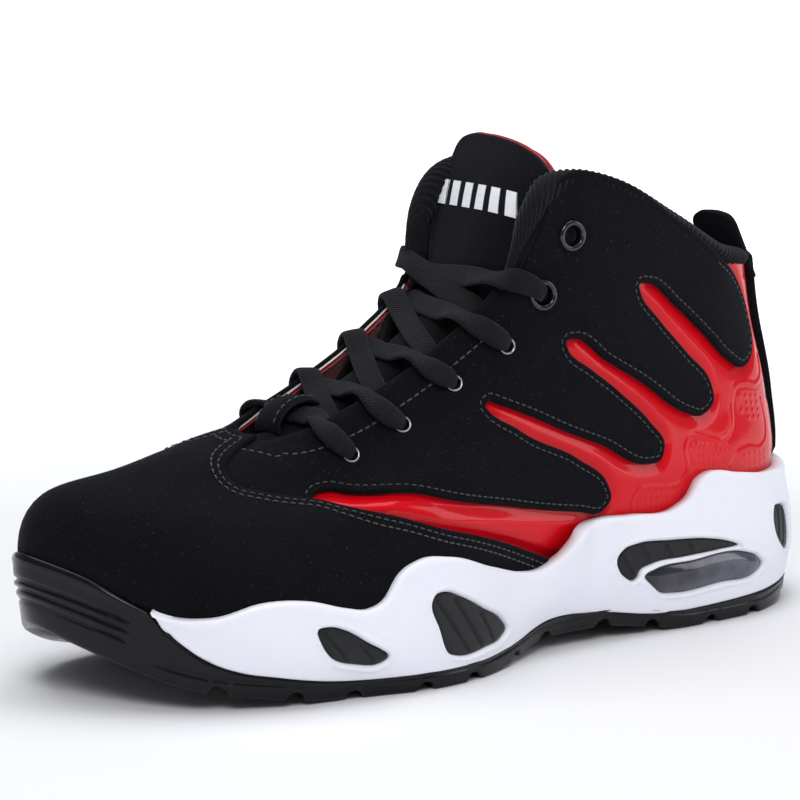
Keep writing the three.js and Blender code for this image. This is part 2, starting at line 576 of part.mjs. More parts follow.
const windowInsert = (sign, pairs) => windowPiece(sign, pairs, [-WINDOW_DEPTH + GAP, WINDOW_FACE], 0.4);
const windowPocket = (sign, pairs) => windowPiece(sign, pairs, [-WINDOW_DEPTH, 6], 0);

function midsole() {
  const rim = (t) => value(RIM, side(t));
  const bottom = stations.map((t) => groundPoint(t));
  const levels = [0.2, 0.45, 0.7, 0.9, 1].map((u) => stations.map((t) => wallPoint(t, u)));
  const innerWall = [1, 0.7, 0.42, 0.18].map((f) => stations.map((t) => last(t, rim(t) * f, hugged(side(t)))));
  const floor = stations.map((t) => {
    const edge = (q) => last(q, 0, 0);
    return insetRing(t, edge, -hugged(side(t)), edge(t).z - FLOOR_DROP);
  });
  const body = loft([spine(bottom), bottom, ...levels, ...innerWall, floor, spine(floor)]);
  const pockets = [-1, 1].flatMap((sign) => [...Object.values(WINDOWS), AIR_WINDOW]
    .map((pairs) => windowPocket(sign, pairs)));
  const shankPocket = block([SHANK.x[0] - GAP, SHANK.x[1] + GAP], [SHANK.y[0] - GAP, SHANK.y[1] + GAP],
    [SHANK.z[0] - GAP, 30]);
  const tunnel = airTunnel(GAP);
  return cut(body, [outsoleBody(1.5 * GAP), ...pockets, shankPocket, tunnel]);
}

/** Rounded slot across the heel that holds the air unit's middle. */
function airTunnel(grow, [y0, y1] = AIR_TUNNEL.y) {
  const radius = (AIR_TUNNEL.z[1] - AIR_TUNNEL.z[0]) / 2;
  const slot = new THREE.Shape();
  slot.absarc(AIR_TUNNEL.x[0] + radius, 0, radius + grow, Math.PI / 2, Math.PI * 1.5);
  slot.absarc(AIR_TUNNEL.x[1] - radius, 0, radius + grow, -Math.PI / 2, Math.PI / 2);
  const bar = new THREE.ExtrudeGeometry(slot, { depth: y1 - y0, bevelEnabled: false, curveSegments: 6 });
  return bar.rotateX(Math.PI / 2).translate(0, y1, AIR_TUNNEL.z[0] + radius);
}

function airUnit() {
  const faces = [-1, 1].map((sign) => windowInsert(sign, AIR_WINDOW));
  const joined = toSolid(airTunnel(0)).add(toSolid(faces[0])).add(toSolid(faces[1]));
  return toGeometry(joined);
}

/** Flat plate inside the upper, between two heights over the feather edge. */
function plate(margin, low, high) {
  const edge = (t) => last(t, 0, 0);
  const ringAt = (height) => stations.filter((_, i) => i % 2 === 0).map((t) => {
    const depth = liningDepth(t, 0) + LINING + margin;
    return insetRing(t, edge, depth, edge(t).z + height);
  });
  const [bottom, top] = [ringAt(low), ringAt(high)];
  return loft([spine(bottom), bottom, top, spine(top)]);
}

// ---------------------------------------------------------------- upper

function drill(geometry, sign, only = EYELETS) {
  const cutters = only.map(([s, v]) => {
    const radius = EYELETS.findIndex(([q]) => q === s) >= EYELETS.length - RING_EYELETS ? RING_HOLE : SMALL_HOLE;
    return aimed(new THREE.CylinderGeometry(radius, radius, 44, 10), sign * s, v, 0);
  });
  return cut(geometry, cutters);
}

/** Turns a piece made along +Y to stand on the last at (t, v). */
function aimed(geometry, t, v, offset) {
  const turn = new THREE.Quaternion().setFromUnitVectors(new THREE.Vector3(0, 1, 0), lastNormal(t, v));
  const p = last(t, v, offset);
  return geometry.applyQuaternion(turn).translate(p.x, p.y, p.z);
}

function quarter(sign) {
  const flat = [THROAT_EDGE, COLLAR_TOP, FINGERS, QUARTER_FRONT].map((part) => part.map(toPlane(sign)));
  return drill(bent(outline(flat), QUARTER, onLast), sign);
}

const redTop = (s) => Math.min(value(RED_TOP, s), COLLAR_EDGE);

function redPanel(sign) {
  return layer(across(sign * 0.02, sign * 0.82), (s) => value(RED_BOTTOM, s), redTop,
    () => RED[0], () => RED[1]);
}

function vamp() {
  return layer(across(0.47, 1.53), () => 0.02, (s) => value(VAMP_EDGE, s), () => VAMP[0], () => VAMP[1]);
}

const edgeOf = (s) => (s < 0.575 ? COLLAR_EDGE : THREE.MathUtils.lerp(COLLAR_EDGE, 1, step(0.575, 0.61, s)));

function lining(t0, t1) {
  const top = (s) => edgeOf(s) - 0.03 * step(0.58, 0.64, s);
  return layer(across(t0, t1), () => 0.03, top, (t, v) => -liningDepth(t, v) - LINING, (t, v) => -liningDepth(t, v), 7);
}

/** Foam between the outer panels and the lining; it fills out to the quarter above the red panel. */
function foam(t0, t1, bottom) {
  const outer = (t, v) => {
    const red = redTop(side(t));
    return THREE.MathUtils.lerp(STIFFENER[1], QUARTER[0] - 0.6, step(red + 0.1, red + 0.18, v));
  };
  const top = (s) => THREE.MathUtils.lerp(0.56, COLLAR_EDGE, step(0.56, 0.44, s));
  return layer(across(t0, t1), () => bottom, top, (t, v) => -liningDepth(t, v) + 0.7, outer);
}

function collarBinding() {
  const sections = [];
  for (const t of across(-0.555, 0.555)) {
    const foot = last(t, COLLAR_EDGE);
    const out = lastNormal(t, 0.97);
    const up = last(t, 1).sub(foot).normalize();
    const depth = liningDepth(t, COLLAR_EDGE);
    const [outerReach, innerReach] = [0.7, -depth - LINING - 0.6];
    const middle = (outerReach + innerReach) / 2;
    const half = (outerReach - innerReach) / 2;
    const section = [];
    for (let k = 0; k <= 6; k += 1) {
      const angle = Math.PI * k / 6;
      const point = foot.clone().addScaledVector(out, middle + half * Math.cos(angle));
      section.push(point.addScaledVector(up, 0.8 + BINDING_HEIGHT * Math.sin(angle)));
    }
    sections.push(section);
  }
  return sweep(sections);
}

function pullTab() {
  const { x, z, width, height, thickness, lean } = PULL_TAB;
  const half = width / 2;
  const corner = 7;
  const shape = new THREE.Shape();
  shape.moveTo(-half, 0);
  shape.lineTo(half, 0);
  shape.lineTo(half - 1.5, height - corner);
  shape.absarc(half - 1.5 - corner, height - corner, corner, 0, Math.PI / 2);
  shape.absarc(corner + 1.5 - half, height - corner, corner, Math.PI / 2, Math.PI);
  const tab = new THREE.ExtrudeGeometry(shape, { depth: thickness, bevelEnabled: false, curveSegments: 5 });
  tab.rotateX(Math.PI / 2).rotateZ(Math.PI / 2).translate(-thickness / 2, 0, 0);
  tab.rotateY(-lean).translate(x, value(AXIS, x), z);
  return merged(tab);
}

// ---------------------------------------------------------------- tongue

function tongueFrame(length) {
  const [x, z] = through(TONGUE_LINE, length);
  const [x1, z1] = through(TONGUE_LINE, Math.min(length + 1, 145));
  const [x0, z0] = through(TONGUE_LINE, Math.min(length + 1, 145) - 2);
  const along = new THREE.Vector3(x1 - x0, 0, z1 - z0).normalize();
  const extra = Math.max(length - 145, 0);
  const centre = new THREE.Vector3(x, value(AXIS, x), z).addScaledVector(along, extra);
  return { centre, along, out: new THREE.Vector3(-along.z, 0, along.x) };
}

/** Point on the tongue: w across it, length along it, offset out of it. */
function onTongue(w, length, offset) {
  const { centre, out } = tongueFrame(length);
  const p = centre.addScaledVector(out, offset - value(TONGUE_CROWN, length) * w * w);
  p.y += w;
  return p;
}

function tongueLayer(margin, offsets) {
  const right = TONGUE_SIDE.map(([l, w]) => [w - margin, l]);
  const top = [...TONGUE_TOP, ...TONGUE_TOP.slice(0, -1).reverse().map(([w, l]) => [-w, l])]
    .map(([w, l]) => [w - Math.sign(w) * margin, l - margin]);
  const left = right.map(([w, l]) => [-w, l]).reverse();
  right[right.length - 1] = top[0];
  left[0] = top[top.length - 1];
  return bent(outline([right, top, left, [left[left.length - 1], right[0]]], 10), offsets, onTongue, [12, 14]);
}

/** Loop that the lowest run of the lace passes through: an arch over the tongue, open at both sides. */
function laceKeeper() {
  const { at, halfLength, height, halfWidth, wall: thick } = KEEPER;
  const arch = (a, b, clockwise) => {
    const curve = new THREE.EllipseCurve(at, 0, a, b, clockwise ? Math.PI : 0, clockwise ? 0 : Math.PI, clockwise);
    return curve.getPoints(12);
  };
  const section = [...arch(halfLength, height, true), ...arch(halfLength - thick, height - thick, false)];
  const sections = [];
  for (let i = 0; i <= 6; i += 1) {
    const w = THREE.MathUtils.lerp(-halfWidth, halfWidth, i / 6);
    sections.push(section.map((p) => onTongue(w, p.x, 0.3 + p.y)));
  }
  const n = section.length;
  const geometry = sweepOpenSection(sections, n);
  return geometry;
}

/** Sweep whose end faces are triangulated, for sections that are not convex. */
function sweepOpenSection(sections, n) {
  const triangles = [];
  for (let s = 0; s + 1 < sections.length; s += 1) {
    for (let i = 0; i < n; i += 1) {
      const j = (i + 1) % n;
      const [a, b, c, d] = [s * n + i, s * n + j, (s + 1) * n + j, (s + 1) * n + i];
      triangles.push([a, b, c], [a, c, d]);
    }
  }
  const end = (sections.length - 1) * n;
  for (let i = 0; i + 1 < n / 2; i += 1) {
    const [a, b, c, d] = [i, i + 1, n - 2 - i, n - 1 - i];
    triangles.push([a, c, b], [a, d, c], [end + a, end + b, end + c], [end + a, end + c, end + d]);
  }
  return fromTriangles(sections.flat(), triangles);
}

// ---------------------------------------------------------------- eyelets and lace

function ringEyelet(t, v) {
  const profile = [[3.75, -1.9], [4.15, -1.9], [4.15, 0.3], [5.75, 0.3], [5.75, 0.7], [5.2, 1.1], [4.2, 1.1],
    [3.75, 0.7], [3.75, -1.9]].map(([r, h]) => new THREE.Vector2(r, h));
  return aimed(closedLathe(profile, 10), t, v, 0);
}

function smallEyelet(t, v) {
  const profile = [[3, -1.7], [3.4, -1.7], [3.4, -0.1], [3, -0.1], [3, -1.7]].map(([r, h]) => new THREE.Vector2(r, h));
  return aimed(closedLathe(profile, 8), t, v, 0);
}

const closedLathe = (profile, segments) => merged(new THREE.LatheGeometry(profile, segments));

/** Stops of one lace half: [point, flat-side direction], from the keeper to its tucked end. */
function laceHalf(first) {
  const stops = [];
  const add = (point, face) => stops.push({ point, face });
  let sign = first;
  let flip = 1;
  const outside = 2.1;
  const inside = (t, v) => -liningDepth(t, v) - LINING - 1.9;
  const exit = (k, share) => sign * THREE.MathUtils.lerp(THROAT_EXITS[k], THROAT_EXITS[k + 1], share);
  const overEdge = (t) => {
    const up = last(t, 1).sub(last(t, 0.95)).normalize();
    const out = lastNormal(t, 1);
    add(last(t, 1, -1.1).addScaledVector(up, 3.4), out.clone().add(up).multiplyScalar(flip));
    add(last(t, 1, 2.9).addScaledVector(up, 2.3), out.clone().addScaledVector(up, 0.5).multiplyScalar(flip));
  };
  const dive = (k) => {
    const [s, v] = EYELETS[k];
    const t = sign * s;
    const n = lastNormal(t, v);
    const down = last(t, v - 0.03).sub(last(t, v)).normalize();
    add(last(t, v + 0.055, outside + 0.7), n.clone().multiplyScalar(flip));
    add(last(t, v + 0.012, outside + 0.5), n.clone().add(down).multiplyScalar(flip));
    add(last(t, v, -1), down.clone().multiplyScalar(flip));
    add(last(t, v, inside(t, v) + 1.6), down.clone().multiplyScalar(flip));
    add(last(t, v + 0.02, inside(t, v) - 0.2), n.clone().multiplyScalar(-1).add(down).multiplyScalar(flip));
    flip = -flip;
  };
  add(onTongue(0, KEEPER.at, 3.3), new THREE.Vector3(-0.5, 0, 0.85));
  add(onTongue(sign * 12, KEEPER.at + 2, 5.2), tongueFrame(KEEPER.at).out.multiplyScalar(flip));
  overEdge(sign * 0.835);
  add(last(sign * 0.808, 0.92, outside + 1.2), lastNormal(sign * 0.808, 0.92).multiplyScalar(flip));
  dive(0);
  for (let k = 0; k < CROSSINGS.length; k += 1) {
    const t = exit(k, 0.25);
    add(last(t, 0.9, inside(t, 0.9)), lastNormal(t, 0.9).multiplyScalar(flip));
    add(last(t, 0.985, inside(t, 1) + 0.2), lastNormal(t, 1).multiplyScalar(flip));
    const onTop = sign < 0;
    const up = tongueFrame(CROSSINGS[k]).out;
    add(onTongue(sign * 7, CROSSINGS[k] - 4, onTop ? 3.6 : 2), up.clone().multiplyScalar(flip));
    add(onTongue(0, CROSSINGS[k], onTop ? 4.8 : 1.9), up.clone().multiplyScalar(flip));
    add(onTongue(sign * -7, CROSSINGS[k] + 4, onTop ? 5.2 : 3), up.clone().multiplyScalar(flip));
    sign = -sign;
    const u = exit(k, 0.9);
    const beside = THREE.MathUtils.lerp(u, sign * EYELETS[k + 1][0], 0.35);
    overEdge(u);
    add(last(beside, 0.93, outside + 1.2), lastNormal(beside, 0.93).multiplyScalar(flip));
    dive(k + 1);
  }
  for (const [s, v] of TAIL) {
    const t = sign * s;
    add(last(t, v, inside(t, v) - 0.1), lastNormal(t, v).multiplyScalar(flip));
  }
  return stops;
}

/** Path with its own frames, so that a flat lace lies flat against what it crosses. */
class FlatPath extends THREE.Curve {
  constructor(stops) {
    super();
    this.stops = stops;
  }

  getPoint(u) {
    const i = Math.min(Math.floor(u * (this.stops.length - 1)), this.stops.length - 2);
    return this.stops[i].point.clone().lerp(this.stops[i + 1].point, u * (this.stops.length - 1) - i);
  }

  getSpacedPoints() {
    return this.stops.map(({ point }) => point.clone());
  }

  computeFrenetFrames() {
    const n = this.stops.length;
    const tangents = this.stops.map((_, i) => {
      const [a, b] = [this.stops[Math.max(i - 1, 0)].point, this.stops[Math.min(i + 1, n - 1)].point];
      return b.clone().sub(a).normalize();
    });
    const normals = this.stops.map(({ face }, i) => face.clone()
      .addScaledVector(tangents[i], -face.dot(tangents[i])).normalize());
    const binormals = tangents.map((tangent, i) => tangent.clone().cross(normals[i]));
    return { tangents, normals, binormals };
  }
}

function laceStops() {
  const outer = laceHalf(-1);
  const inner = laceHalf(1).slice(1);
  for (const stop of outer) stop.face.negate();
  outer[0].face.negate();
  return [...outer.reverse().map((stop, i, all) => (i === all.length - 1 ? stop : { ...stop, face: stop.face.negate() })),
    ...inner];
}

function lace(stops) {
  const [h, w] = [LACE.thickness / 2, LACE.width / 2];
  const section = new THREE.Shape([[-h, -w + h], [0, -w], [h, -w + h], [h, w - h], [0, w], [-h, w - h]]
    .map(([a, b]) => new THREE.Vector2(a, b)));
  const tube = new THREE.ExtrudeGeometry(section, { steps: stops.length - 1, extrudePath: new FlatPath(stops) });
  return merged(tube);
}

function aglet(end, before) {
  const along = end.clone().sub(before).normalize();
  const barrel = new THREE.CylinderGeometry(AGLET.radius, AGLET.radius, AGLET.length, 10);
  const turn = new THREE.Quaternion().setFromUnitVectors(new THREE.Vector3(0, 1, 0), along);
  const middle = end.clone().addScaledVector(along, AGLET.length / 2 + 2 * GAP);
  return merged(barrel.applyQuaternion(turn).translate(middle.x, middle.y, middle.z));
}

// ---------------------------------------------------------------- materials

const finish = (color, roughness, metalness = 0, extra = {}) => new THREE.MeshStandardMaterial(
  { color, roughness, metalness, ...extra });
const NUBUCK = finish(0x1b1b1e, 0.95);
const PATENT = finish(0xb81b24, 0.15);
const EVA = finish(0xf1f2f6, 0.6);
const RUBBER = finish(0x17181b, 0.45);
const INSERT = finish(0x1d1e21, 0.5);
const AIR = finish(0x8a8f99, 0.1, 0, { transparent: true, opacity: 0.5 });
const KNIT = finish(0x141416, 0.9);
const LINING_CLOTH = finish(0x9c1620, 0.9);
const FOAM = finish(0xe9e6df, 0.9);
const BOARD_FIBRE = finish(0xd8cfba, 0.9);
const SHANK_PLASTIC = finish(0x2a2a2c, 0.6);
const METAL = finish(0x3a3a3f, 0.35, 0.9);
const LACE_CORD = finish(0x151517, 0.95);
const AGLET_PLASTIC = finish(0x0e0e10, 0.3);

// ---------------------------------------------------------------- assembly

const shoe = new THREE.Group();
shoe.position.set(...PLACE);

function add(name, geometry, material) {
  const mesh = new THREE.Mesh(geometry, material);
  mesh.name = name;
  shoe.add(mesh);
}

const SIDES = [['outer', -1], ['inner', 1]];

add('outsole', outsole(), RUBBER);
add('midsole', midsole(), EVA);
add('heel_air_unit', airUnit(), AIR);
add('shank', block(SHANK.x, SHANK.y, SHANK.z), SHANK_PLASTIC);
add('insole_board', plate(0.6, 0, BOARD), BOARD_FIBRE);
add('sockliner', plate(1.2, BOARD + GAP, BOARD + GAP + SOCKLINER), LINING_CLOTH);
add('vamp', vamp(), NUBUCK);
add('toe_puff', layer(across(0.86, 1.14), () => 0.06, () => 0.58, () => TOE_PUFF[0], () => TOE_PUFF[1]), BOARD_FIBRE);
add('vamp_lining', lining(0.8, 1.2), LINING_CLOTH);
add('heel_counter', layer(across(-0.3, 0.3), () => 0.05, () => 0.5, () => STIFFENER[0], () => STIFFENER[1]), BOARD_FIBRE);
add('collar_pad', foam(-0.3, 0.3, 0.54), FOAM);
add('heel_strip', layer(across(-0.05, 0.05), () => 0.26, () => 0.87, () => HEEL_STRIP[0], () => HEEL_STRIP[1]), NUBUCK);
add('heel_pull_tab', pullTab(), NUBUCK);
add('collar_binding', collarBinding(), KNIT);
add('tongue_face', tongueLayer(0, TONGUE.face), NUBUCK);
add('tongue_foam', tongueLayer(1, TONGUE.foam), FOAM);
add('tongue_lining', tongueLayer(0, TONGUE.lining), LINING_CLOTH);
add('lace_keeper', laceKeeper(), NUBUCK);

for (const [label, sign] of SIDES) {
  for (const [place, pairs] of Object.entries(WINDOWS)) {
    add(`${place}_insert_${label}`, windowInsert(sign, pairs), INSERT);
  }
  add(`quarter_${label}`, quarter(sign), NUBUCK);
  add(`red_panel_${label}`, redPanel(sign), PATENT);
  add(`quarter_foam_${label}`, drill(foam(sign * 0.32, sign * 0.73, 0.06), sign, EYELETS.slice(1)), FOAM);
  add(`quarter_lining_${label}`, drill(lining(sign * 0.02, sign * 0.79), sign), LINING_CLOTH);
  EYELETS.forEach(([s, v], i) => {
    const isRing = i >= EYELETS.length - RING_EYELETS;
    add(`eyelet_${label}_${i + 1}`, isRing ? ringEyelet(sign * s, v) : smallEyelet(sign * s, v), METAL);
  });
}

const stops = laceStops();
const ends = [[stops[0].point, stops[1].point], [stops.at(-1).point, stops.at(-2).point]];
add('lace', lace(stops), LACE_CORD);
SIDES.forEach(([label], i) => add(`aglet_${label}`, aglet(...ends[i]), AGLET_PLASTIC));

export default shoe;
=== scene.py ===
"""Looks of a left basketball high top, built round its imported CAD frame.

Lengths are millimetres until points are placed. The upper lies on one curved last surface S(t, v): t runs from the
toe (-1) along the outer side to the heel (0) and back along the inner side (1), and v from the sole's edge (0) to the
mouth (1). Panels are cut on that surface.
"""

import math

import bpy
import numpy as np
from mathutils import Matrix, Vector
from mathutils.geometry import delaunay_2d_cdt


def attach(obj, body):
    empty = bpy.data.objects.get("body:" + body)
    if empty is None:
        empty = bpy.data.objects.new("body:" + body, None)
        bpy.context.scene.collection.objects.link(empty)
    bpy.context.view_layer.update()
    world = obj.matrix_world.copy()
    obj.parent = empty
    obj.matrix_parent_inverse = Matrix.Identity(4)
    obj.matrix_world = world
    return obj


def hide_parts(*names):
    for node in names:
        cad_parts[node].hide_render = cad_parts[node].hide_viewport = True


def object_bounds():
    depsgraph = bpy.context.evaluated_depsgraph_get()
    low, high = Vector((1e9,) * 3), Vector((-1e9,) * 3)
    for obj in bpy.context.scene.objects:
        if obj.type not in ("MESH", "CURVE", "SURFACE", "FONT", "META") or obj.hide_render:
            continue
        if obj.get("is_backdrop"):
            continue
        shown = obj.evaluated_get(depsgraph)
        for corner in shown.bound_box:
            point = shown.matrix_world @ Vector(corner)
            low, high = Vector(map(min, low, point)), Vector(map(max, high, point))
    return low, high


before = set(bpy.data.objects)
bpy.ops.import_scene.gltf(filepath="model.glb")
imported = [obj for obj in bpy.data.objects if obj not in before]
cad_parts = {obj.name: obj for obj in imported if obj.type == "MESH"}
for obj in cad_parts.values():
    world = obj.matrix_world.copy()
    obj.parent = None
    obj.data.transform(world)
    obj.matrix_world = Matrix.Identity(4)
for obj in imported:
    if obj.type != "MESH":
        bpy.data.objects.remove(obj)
cad_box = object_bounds()
TURN = 2 * math.pi

# ---------------------------------------------------------------- shape tables
# Most are the CAD part's. The sole's rim, rubber top and windows, the lace and its keeper are drawn closer here.

PLACE = np.array([-6.3, 3.9, 0.0])
FEATHER = [
    [0, 145, 0, 22], [0.09, 137, 17, 22], [0.18, 118, 28, 21], [0.28, 92, 32, 19], [0.42, 50, 31, 18],
    [0.54, 10, 32, 17], [0.66, -30, 41, 15], [0.75, -60, 46, 14], [0.84, -90, 45, 16],
    [0.92, -116, 34, 22], [0.97, -132, 19, 28], [1, -140, 0, 32]]
LOW = [
    [0, 155, 0, 46], [0.09, 146, 20, 46], [0.18, 123, 32, 46], [0.28, 92, 36, 46], [0.42, 50, 37, 44],
    [0.54, 10, 39, 41], [0.66, -30, 47, 34], [0.75, -60, 51, 30], [0.84, -90, 50, 33],
    [0.92, -118, 37, 39], [0.97, -135, 20, 45], [1, -143, 0, 48]]
MIDDLE = [
    [0, 154, 0, 74], [0.09, 145, 18, 74], [0.18, 122, 29, 75], [0.28, 92, 34, 77], [0.42, 52, 36, 78],
    [0.54, 15, 36, 73], [0.66, -25, 41, 62], [0.75, -57, 44, 54], [0.84, -86, 40, 53],
    [0.92, -112, 30, 57], [0.97, -129, 17, 61], [1, -137, 0, 63]]
HIGH = [
    [0, 148, 0, 102], [0.09, 139, 16, 102], [0.18, 118, 26, 105], [0.28, 92, 31, 111], [0.42, 56, 34, 113],
    [0.54, 24, 32, 103], [0.66, -12, 30, 84], [0.75, -44, 29, 70], [0.84, -74, 26, 66],
    [0.92, -94, 19, 67], [0.97, -106, 11, 69], [1, -112, 0, 70]]
MOUTH_OUTER = [
    [0, 144, 0, 124], [0.09, 136.5, 15, 124], [0.18, 118, 26, 128], [0.28, 91, 32, 143], [0.36, 66, 34, 157],
    [0.42, 46, 33, 163], [0.48, 31, 31, 161], [0.54, 22, 28, 148], [0.6, 15, 25, 128], [0.7, -11, 20.5, 105.5],
    [0.8, -38, 18.5, 91.5], [0.9, -60, 13.5, 82], [0.97, -68, 7, 79.5], [1, -70, 0, 79.5]]
MOUTH_INNER = [
    *MOUTH_OUTER[:6], [0.48, 27, 31, 161], [0.54, 16, 28, 149], [0.6, 12, 25, 127], [0.7, -13, 20, 107],
    [0.8, -38, 17, 94], [0.9, -59, 13, 85], [0.97, -68, 7, 81], MOUTH_OUTER[-1]]
GROUND = [
    [0, 156, 0, 5], [0.09, 148, 23, 3], [0.18, 126, 37, 0], [0.28, 92, 40, 0], [0.42, 50, 36, 5],
    [0.5, 24, 36, 4], [0.56, 4, 45, 1], [0.61, -12, 51, 0], [0.67, -33, 54, 0], [0.75, -60, 51, 0],
    [0.84, -90, 50, 3], [0.92, -119, 39, 9], [0.97, -136, 21, 18], [1, -143, 0, 23]]
WAIST = [
    [0, 161, 0, 27], [0.09, 152, 23, 25], [0.18, 129, 39, 22], [0.28, 95, 43, 20], [0.42, 50, 40, 20],
    [0.5, 24, 41, 17], [0.56, 4, 46, 16], [0.61, -12, 52, 15], [0.67, -33, 56, 15], [0.75, -60, 57, 15],
    [0.84, -90, 54, 18], [0.92, -119, 41, 26], [0.97, -137, 22, 34], [1, -147, 0, 39]]
AXIS = [
    [-160, 15], [-152, 12], [-140, 9], [-120, 3.5], [-90, -1], [-60, -4], [-30, -6], [10, -5.5],
    [50, -3], [110, 0], [160, 0]]
LEVELS = np.array([0, 0.2, 0.45, 0.72, 1.0])
WALL_LEVELS = np.array([0, 0.45, 1.0])
HALVINGS = 22
RIM = [
    [0, 0.232], [0.16, 0.227], [0.21, 0.245], [0.25, 0.257], [0.268, 0.238], [0.283, 0.2], [0.3, 0.183], [0.37, 0.188],
    [0.43, 0.198], [0.456, 0.185], [0.48, 0.138], [0.505, 0.118], [0.534, 0.13], [0.585, 0.185],
    [0.646, 0.265], [0.684, 0.29], [0.709, 0.273], [0.727, 0.22], [0.745, 0.203], [0.77, 0.212],
    [0.811, 0.23], [0.855, 0.208], [0.892, 0.145], [0.926, 0.118], [0.95, 0.14], [0.966, 0.17], [1, 0.195]]
RUBBER_TOP = [
    [0, 10], [0.1, 9], [0.2, 7.5], [0.28, 6.5], [0.35, 7], [0.42, 10.5], [0.49, 11.5], [0.55, 7], [0.6, 5.8],
    [0.7, 5.8], [0.77, 6.8], [0.84, 10.5], [0.873, 13], [0.896, 16.6], [0.913, 21.4], [0.923, 25.5],
    [0.932, 32], [0.94, 60], [1, 60]]
FINGERS = [
    [0.2, 0.965], [0.165, 0.93], [0.138, 0.86], [0.117, 0.74], [0.115, 0.65], [0.13, 0.585], [0.155, 0.55],
    [0.184, 0.575], [0.225, 0.645], [0.281, 0.722], [0.338, 0.777], [0.357, 0.772], [0.354, 0.75],
    [0.322, 0.69], [0.267, 0.595], [0.23, 0.515], [0.227, 0.458], [0.25, 0.417], [0.273, 0.43],
    [0.339, 0.51], [0.418, 0.603], [0.472, 0.69], [0.486, 0.694], [0.483, 0.675], [0.44, 0.588],
    [0.388, 0.503], [0.339, 0.42], [0.314, 0.352], [0.321, 0.31], [0.344, 0.305], [0.409, 0.372],
    [0.496, 0.473], [0.582, 0.628], [0.597, 0.662], [0.601, 0.652], [0.596, 0.632], [0.539, 0.49],
    [0.451, 0.36], [0.408, 0.285], [0.4, 0.238], [0.414, 0.208], [0.448, 0.225], [0.531, 0.283],
    [0.655, 0.438], [0.757, 0.647], [0.783, 0.69], [0.797, 0.68], [0.797, 0.647]]
QUARTER_FRONT = [
    [0.805, 0.6], [0.83, 0.6], [0.87, 0.64], [0.905, 0.67], [0.935, 0.72], [0.96, 0.78], [0.972, 0.85],
    [0.982, 0.93], [0.985, 1]]
VAMP_EDGE = [
    [0.46, 0.085], [0.474, 0.105], [0.525, 0.173], [0.593, 0.265], [0.672, 0.378], [0.755, 0.547],
    [0.795, 0.64], [0.83, 0.682], [0.862, 0.715], [0.89, 0.74], [0.915, 0.785], [0.937, 0.835],
    [0.95, 0.88], [0.963, 0.94], [0.972, 1]]
WINDOWS = {
    "forefoot": [[0.805, 25.9], [0.793, 26.5], [0.777, 25], [0.752, 20], [0.727, 13], [0.736, 11.3],
                 [0.761, 12], [0.789, 15.4], [0.801, 20.6]],
    "midfoot": [[0.675, 29.2], [0.67, 31.4], [0.658, 32], [0.636, 29.3], [0.603, 23.4], [0.573, 17.9], [0.563, 13.6],
                [0.573, 11.2], [0.6, 10.1], [0.642, 9.7], [0.654, 11.2], [0.668, 21]],
    "heel": [[0.4, 28.5], [0.39, 31.7], [0.37, 33], [0.322, 32.5], [0.272, 31], [0.242, 28.6], [0.23, 26.9],
             [0.255, 26.3], [0.304, 26], [0.352, 25.1], [0.367, 23.4], [0.371, 20.9], [0.377, 20], [0.386, 21.4],
             [0.397, 25]],
    "rear": [[0.157, 36], [0.14, 36.5], [0.122, 35], [0.118, 27], [0.119, 19.5], [0.14, 20.5], [0.154, 23],
             [0.166, 28], [0.165, 32.6]],
}
AIR_WINDOW = [
    [0.362, 21.4], [0.348, 23.2], [0.297, 24.3], [0.224, 24], [0.203, 21.2], [0.193, 17.8],
    [0.202, 15.5], [0.253, 14.2], [0.321, 13.4], [0.335, 14], [0.351, 17.6]]
EYELETS = [[0.77, 0.8], [0.714, 0.81], [0.654, 0.82], [0.578, 0.785], [0.518, 0.82], [0.457, 0.885]]
FIRST_RINGED = 4
RINGED_HOLE, SMALL_HOLE = 3.9, 2.75
# Where the lace crosses the throat's edge, as s: over it to each eyelet, and out from under it after each eyelet.
LACE_OVER = {-1: [0.864, 0.794, 0.72, 0.656, 0.606], 1: [0.879, 0.79, 0.709, 0.641, 0.599]}
LACE_UNDER = {-1: [0.836, 0.767, 0.696, 0.632], 1: [0.785, 0.706, 0.632, 0.604]}
TONGUE_LINE = [
    [0, -66, 76.5], [15, -52, 82], [40, -30, 93], [67, -6, 106], [88, 10, 119.5],
    [106, 19, 135], [125, 27, 152.5], [145, 37, 170]]
TONGUE_LENGTH = TONGUE_LINE[-1][0]
TONGUE_CROWN = [[0, 0.012], [15, 0.02], [90, 0.02], [125, 0.01], [145, 0.006]]
LACE_WIDTH, LACE_THICKNESS = 7.9, 2.2
KEEPER = {"at": 17, "half_length": 10, "height": 8, "half_width": 7.5, "shift": 3}
TAIL = [[0.5, 0.72], [0.46, 0.62], [0.41, 0.53], [0.36, 0.46], [0.31, 0.4], [0.27, 0.33], [0.255, 0.26],
        [0.28, 0.21], [0.33, 0.19], [0.39, 0.19]]

# ---------------------------------------------------------------- curves and surfaces


def slopes(xs, ys):
    """Steps between knots, and the slope of a smooth curve at each knot."""
    steps = np.diff(xs)
    h = steps.reshape(-1, *[1] * (ys.ndim - 1))
    d = np.diff(ys, axis=0) / h
    return steps, np.concatenate([d[:1], (h[1:] * d[:-1] + h[:-1] * d[1:]) / (h[:-1] + h[1:]), d[-1:]])


def cubic(p, h, low, low_slope, high, high_slope):
    """Cubic between two knots, a share p of the step h past the lower one."""
    return ((2 * p**3 - 3 * p**2 + 1) * low + (p**3 - 2 * p**2 + p) * h * low_slope
            + (3 * p**2 - 2 * p**3) * high + (p**3 - p**2) * h * high_slope)


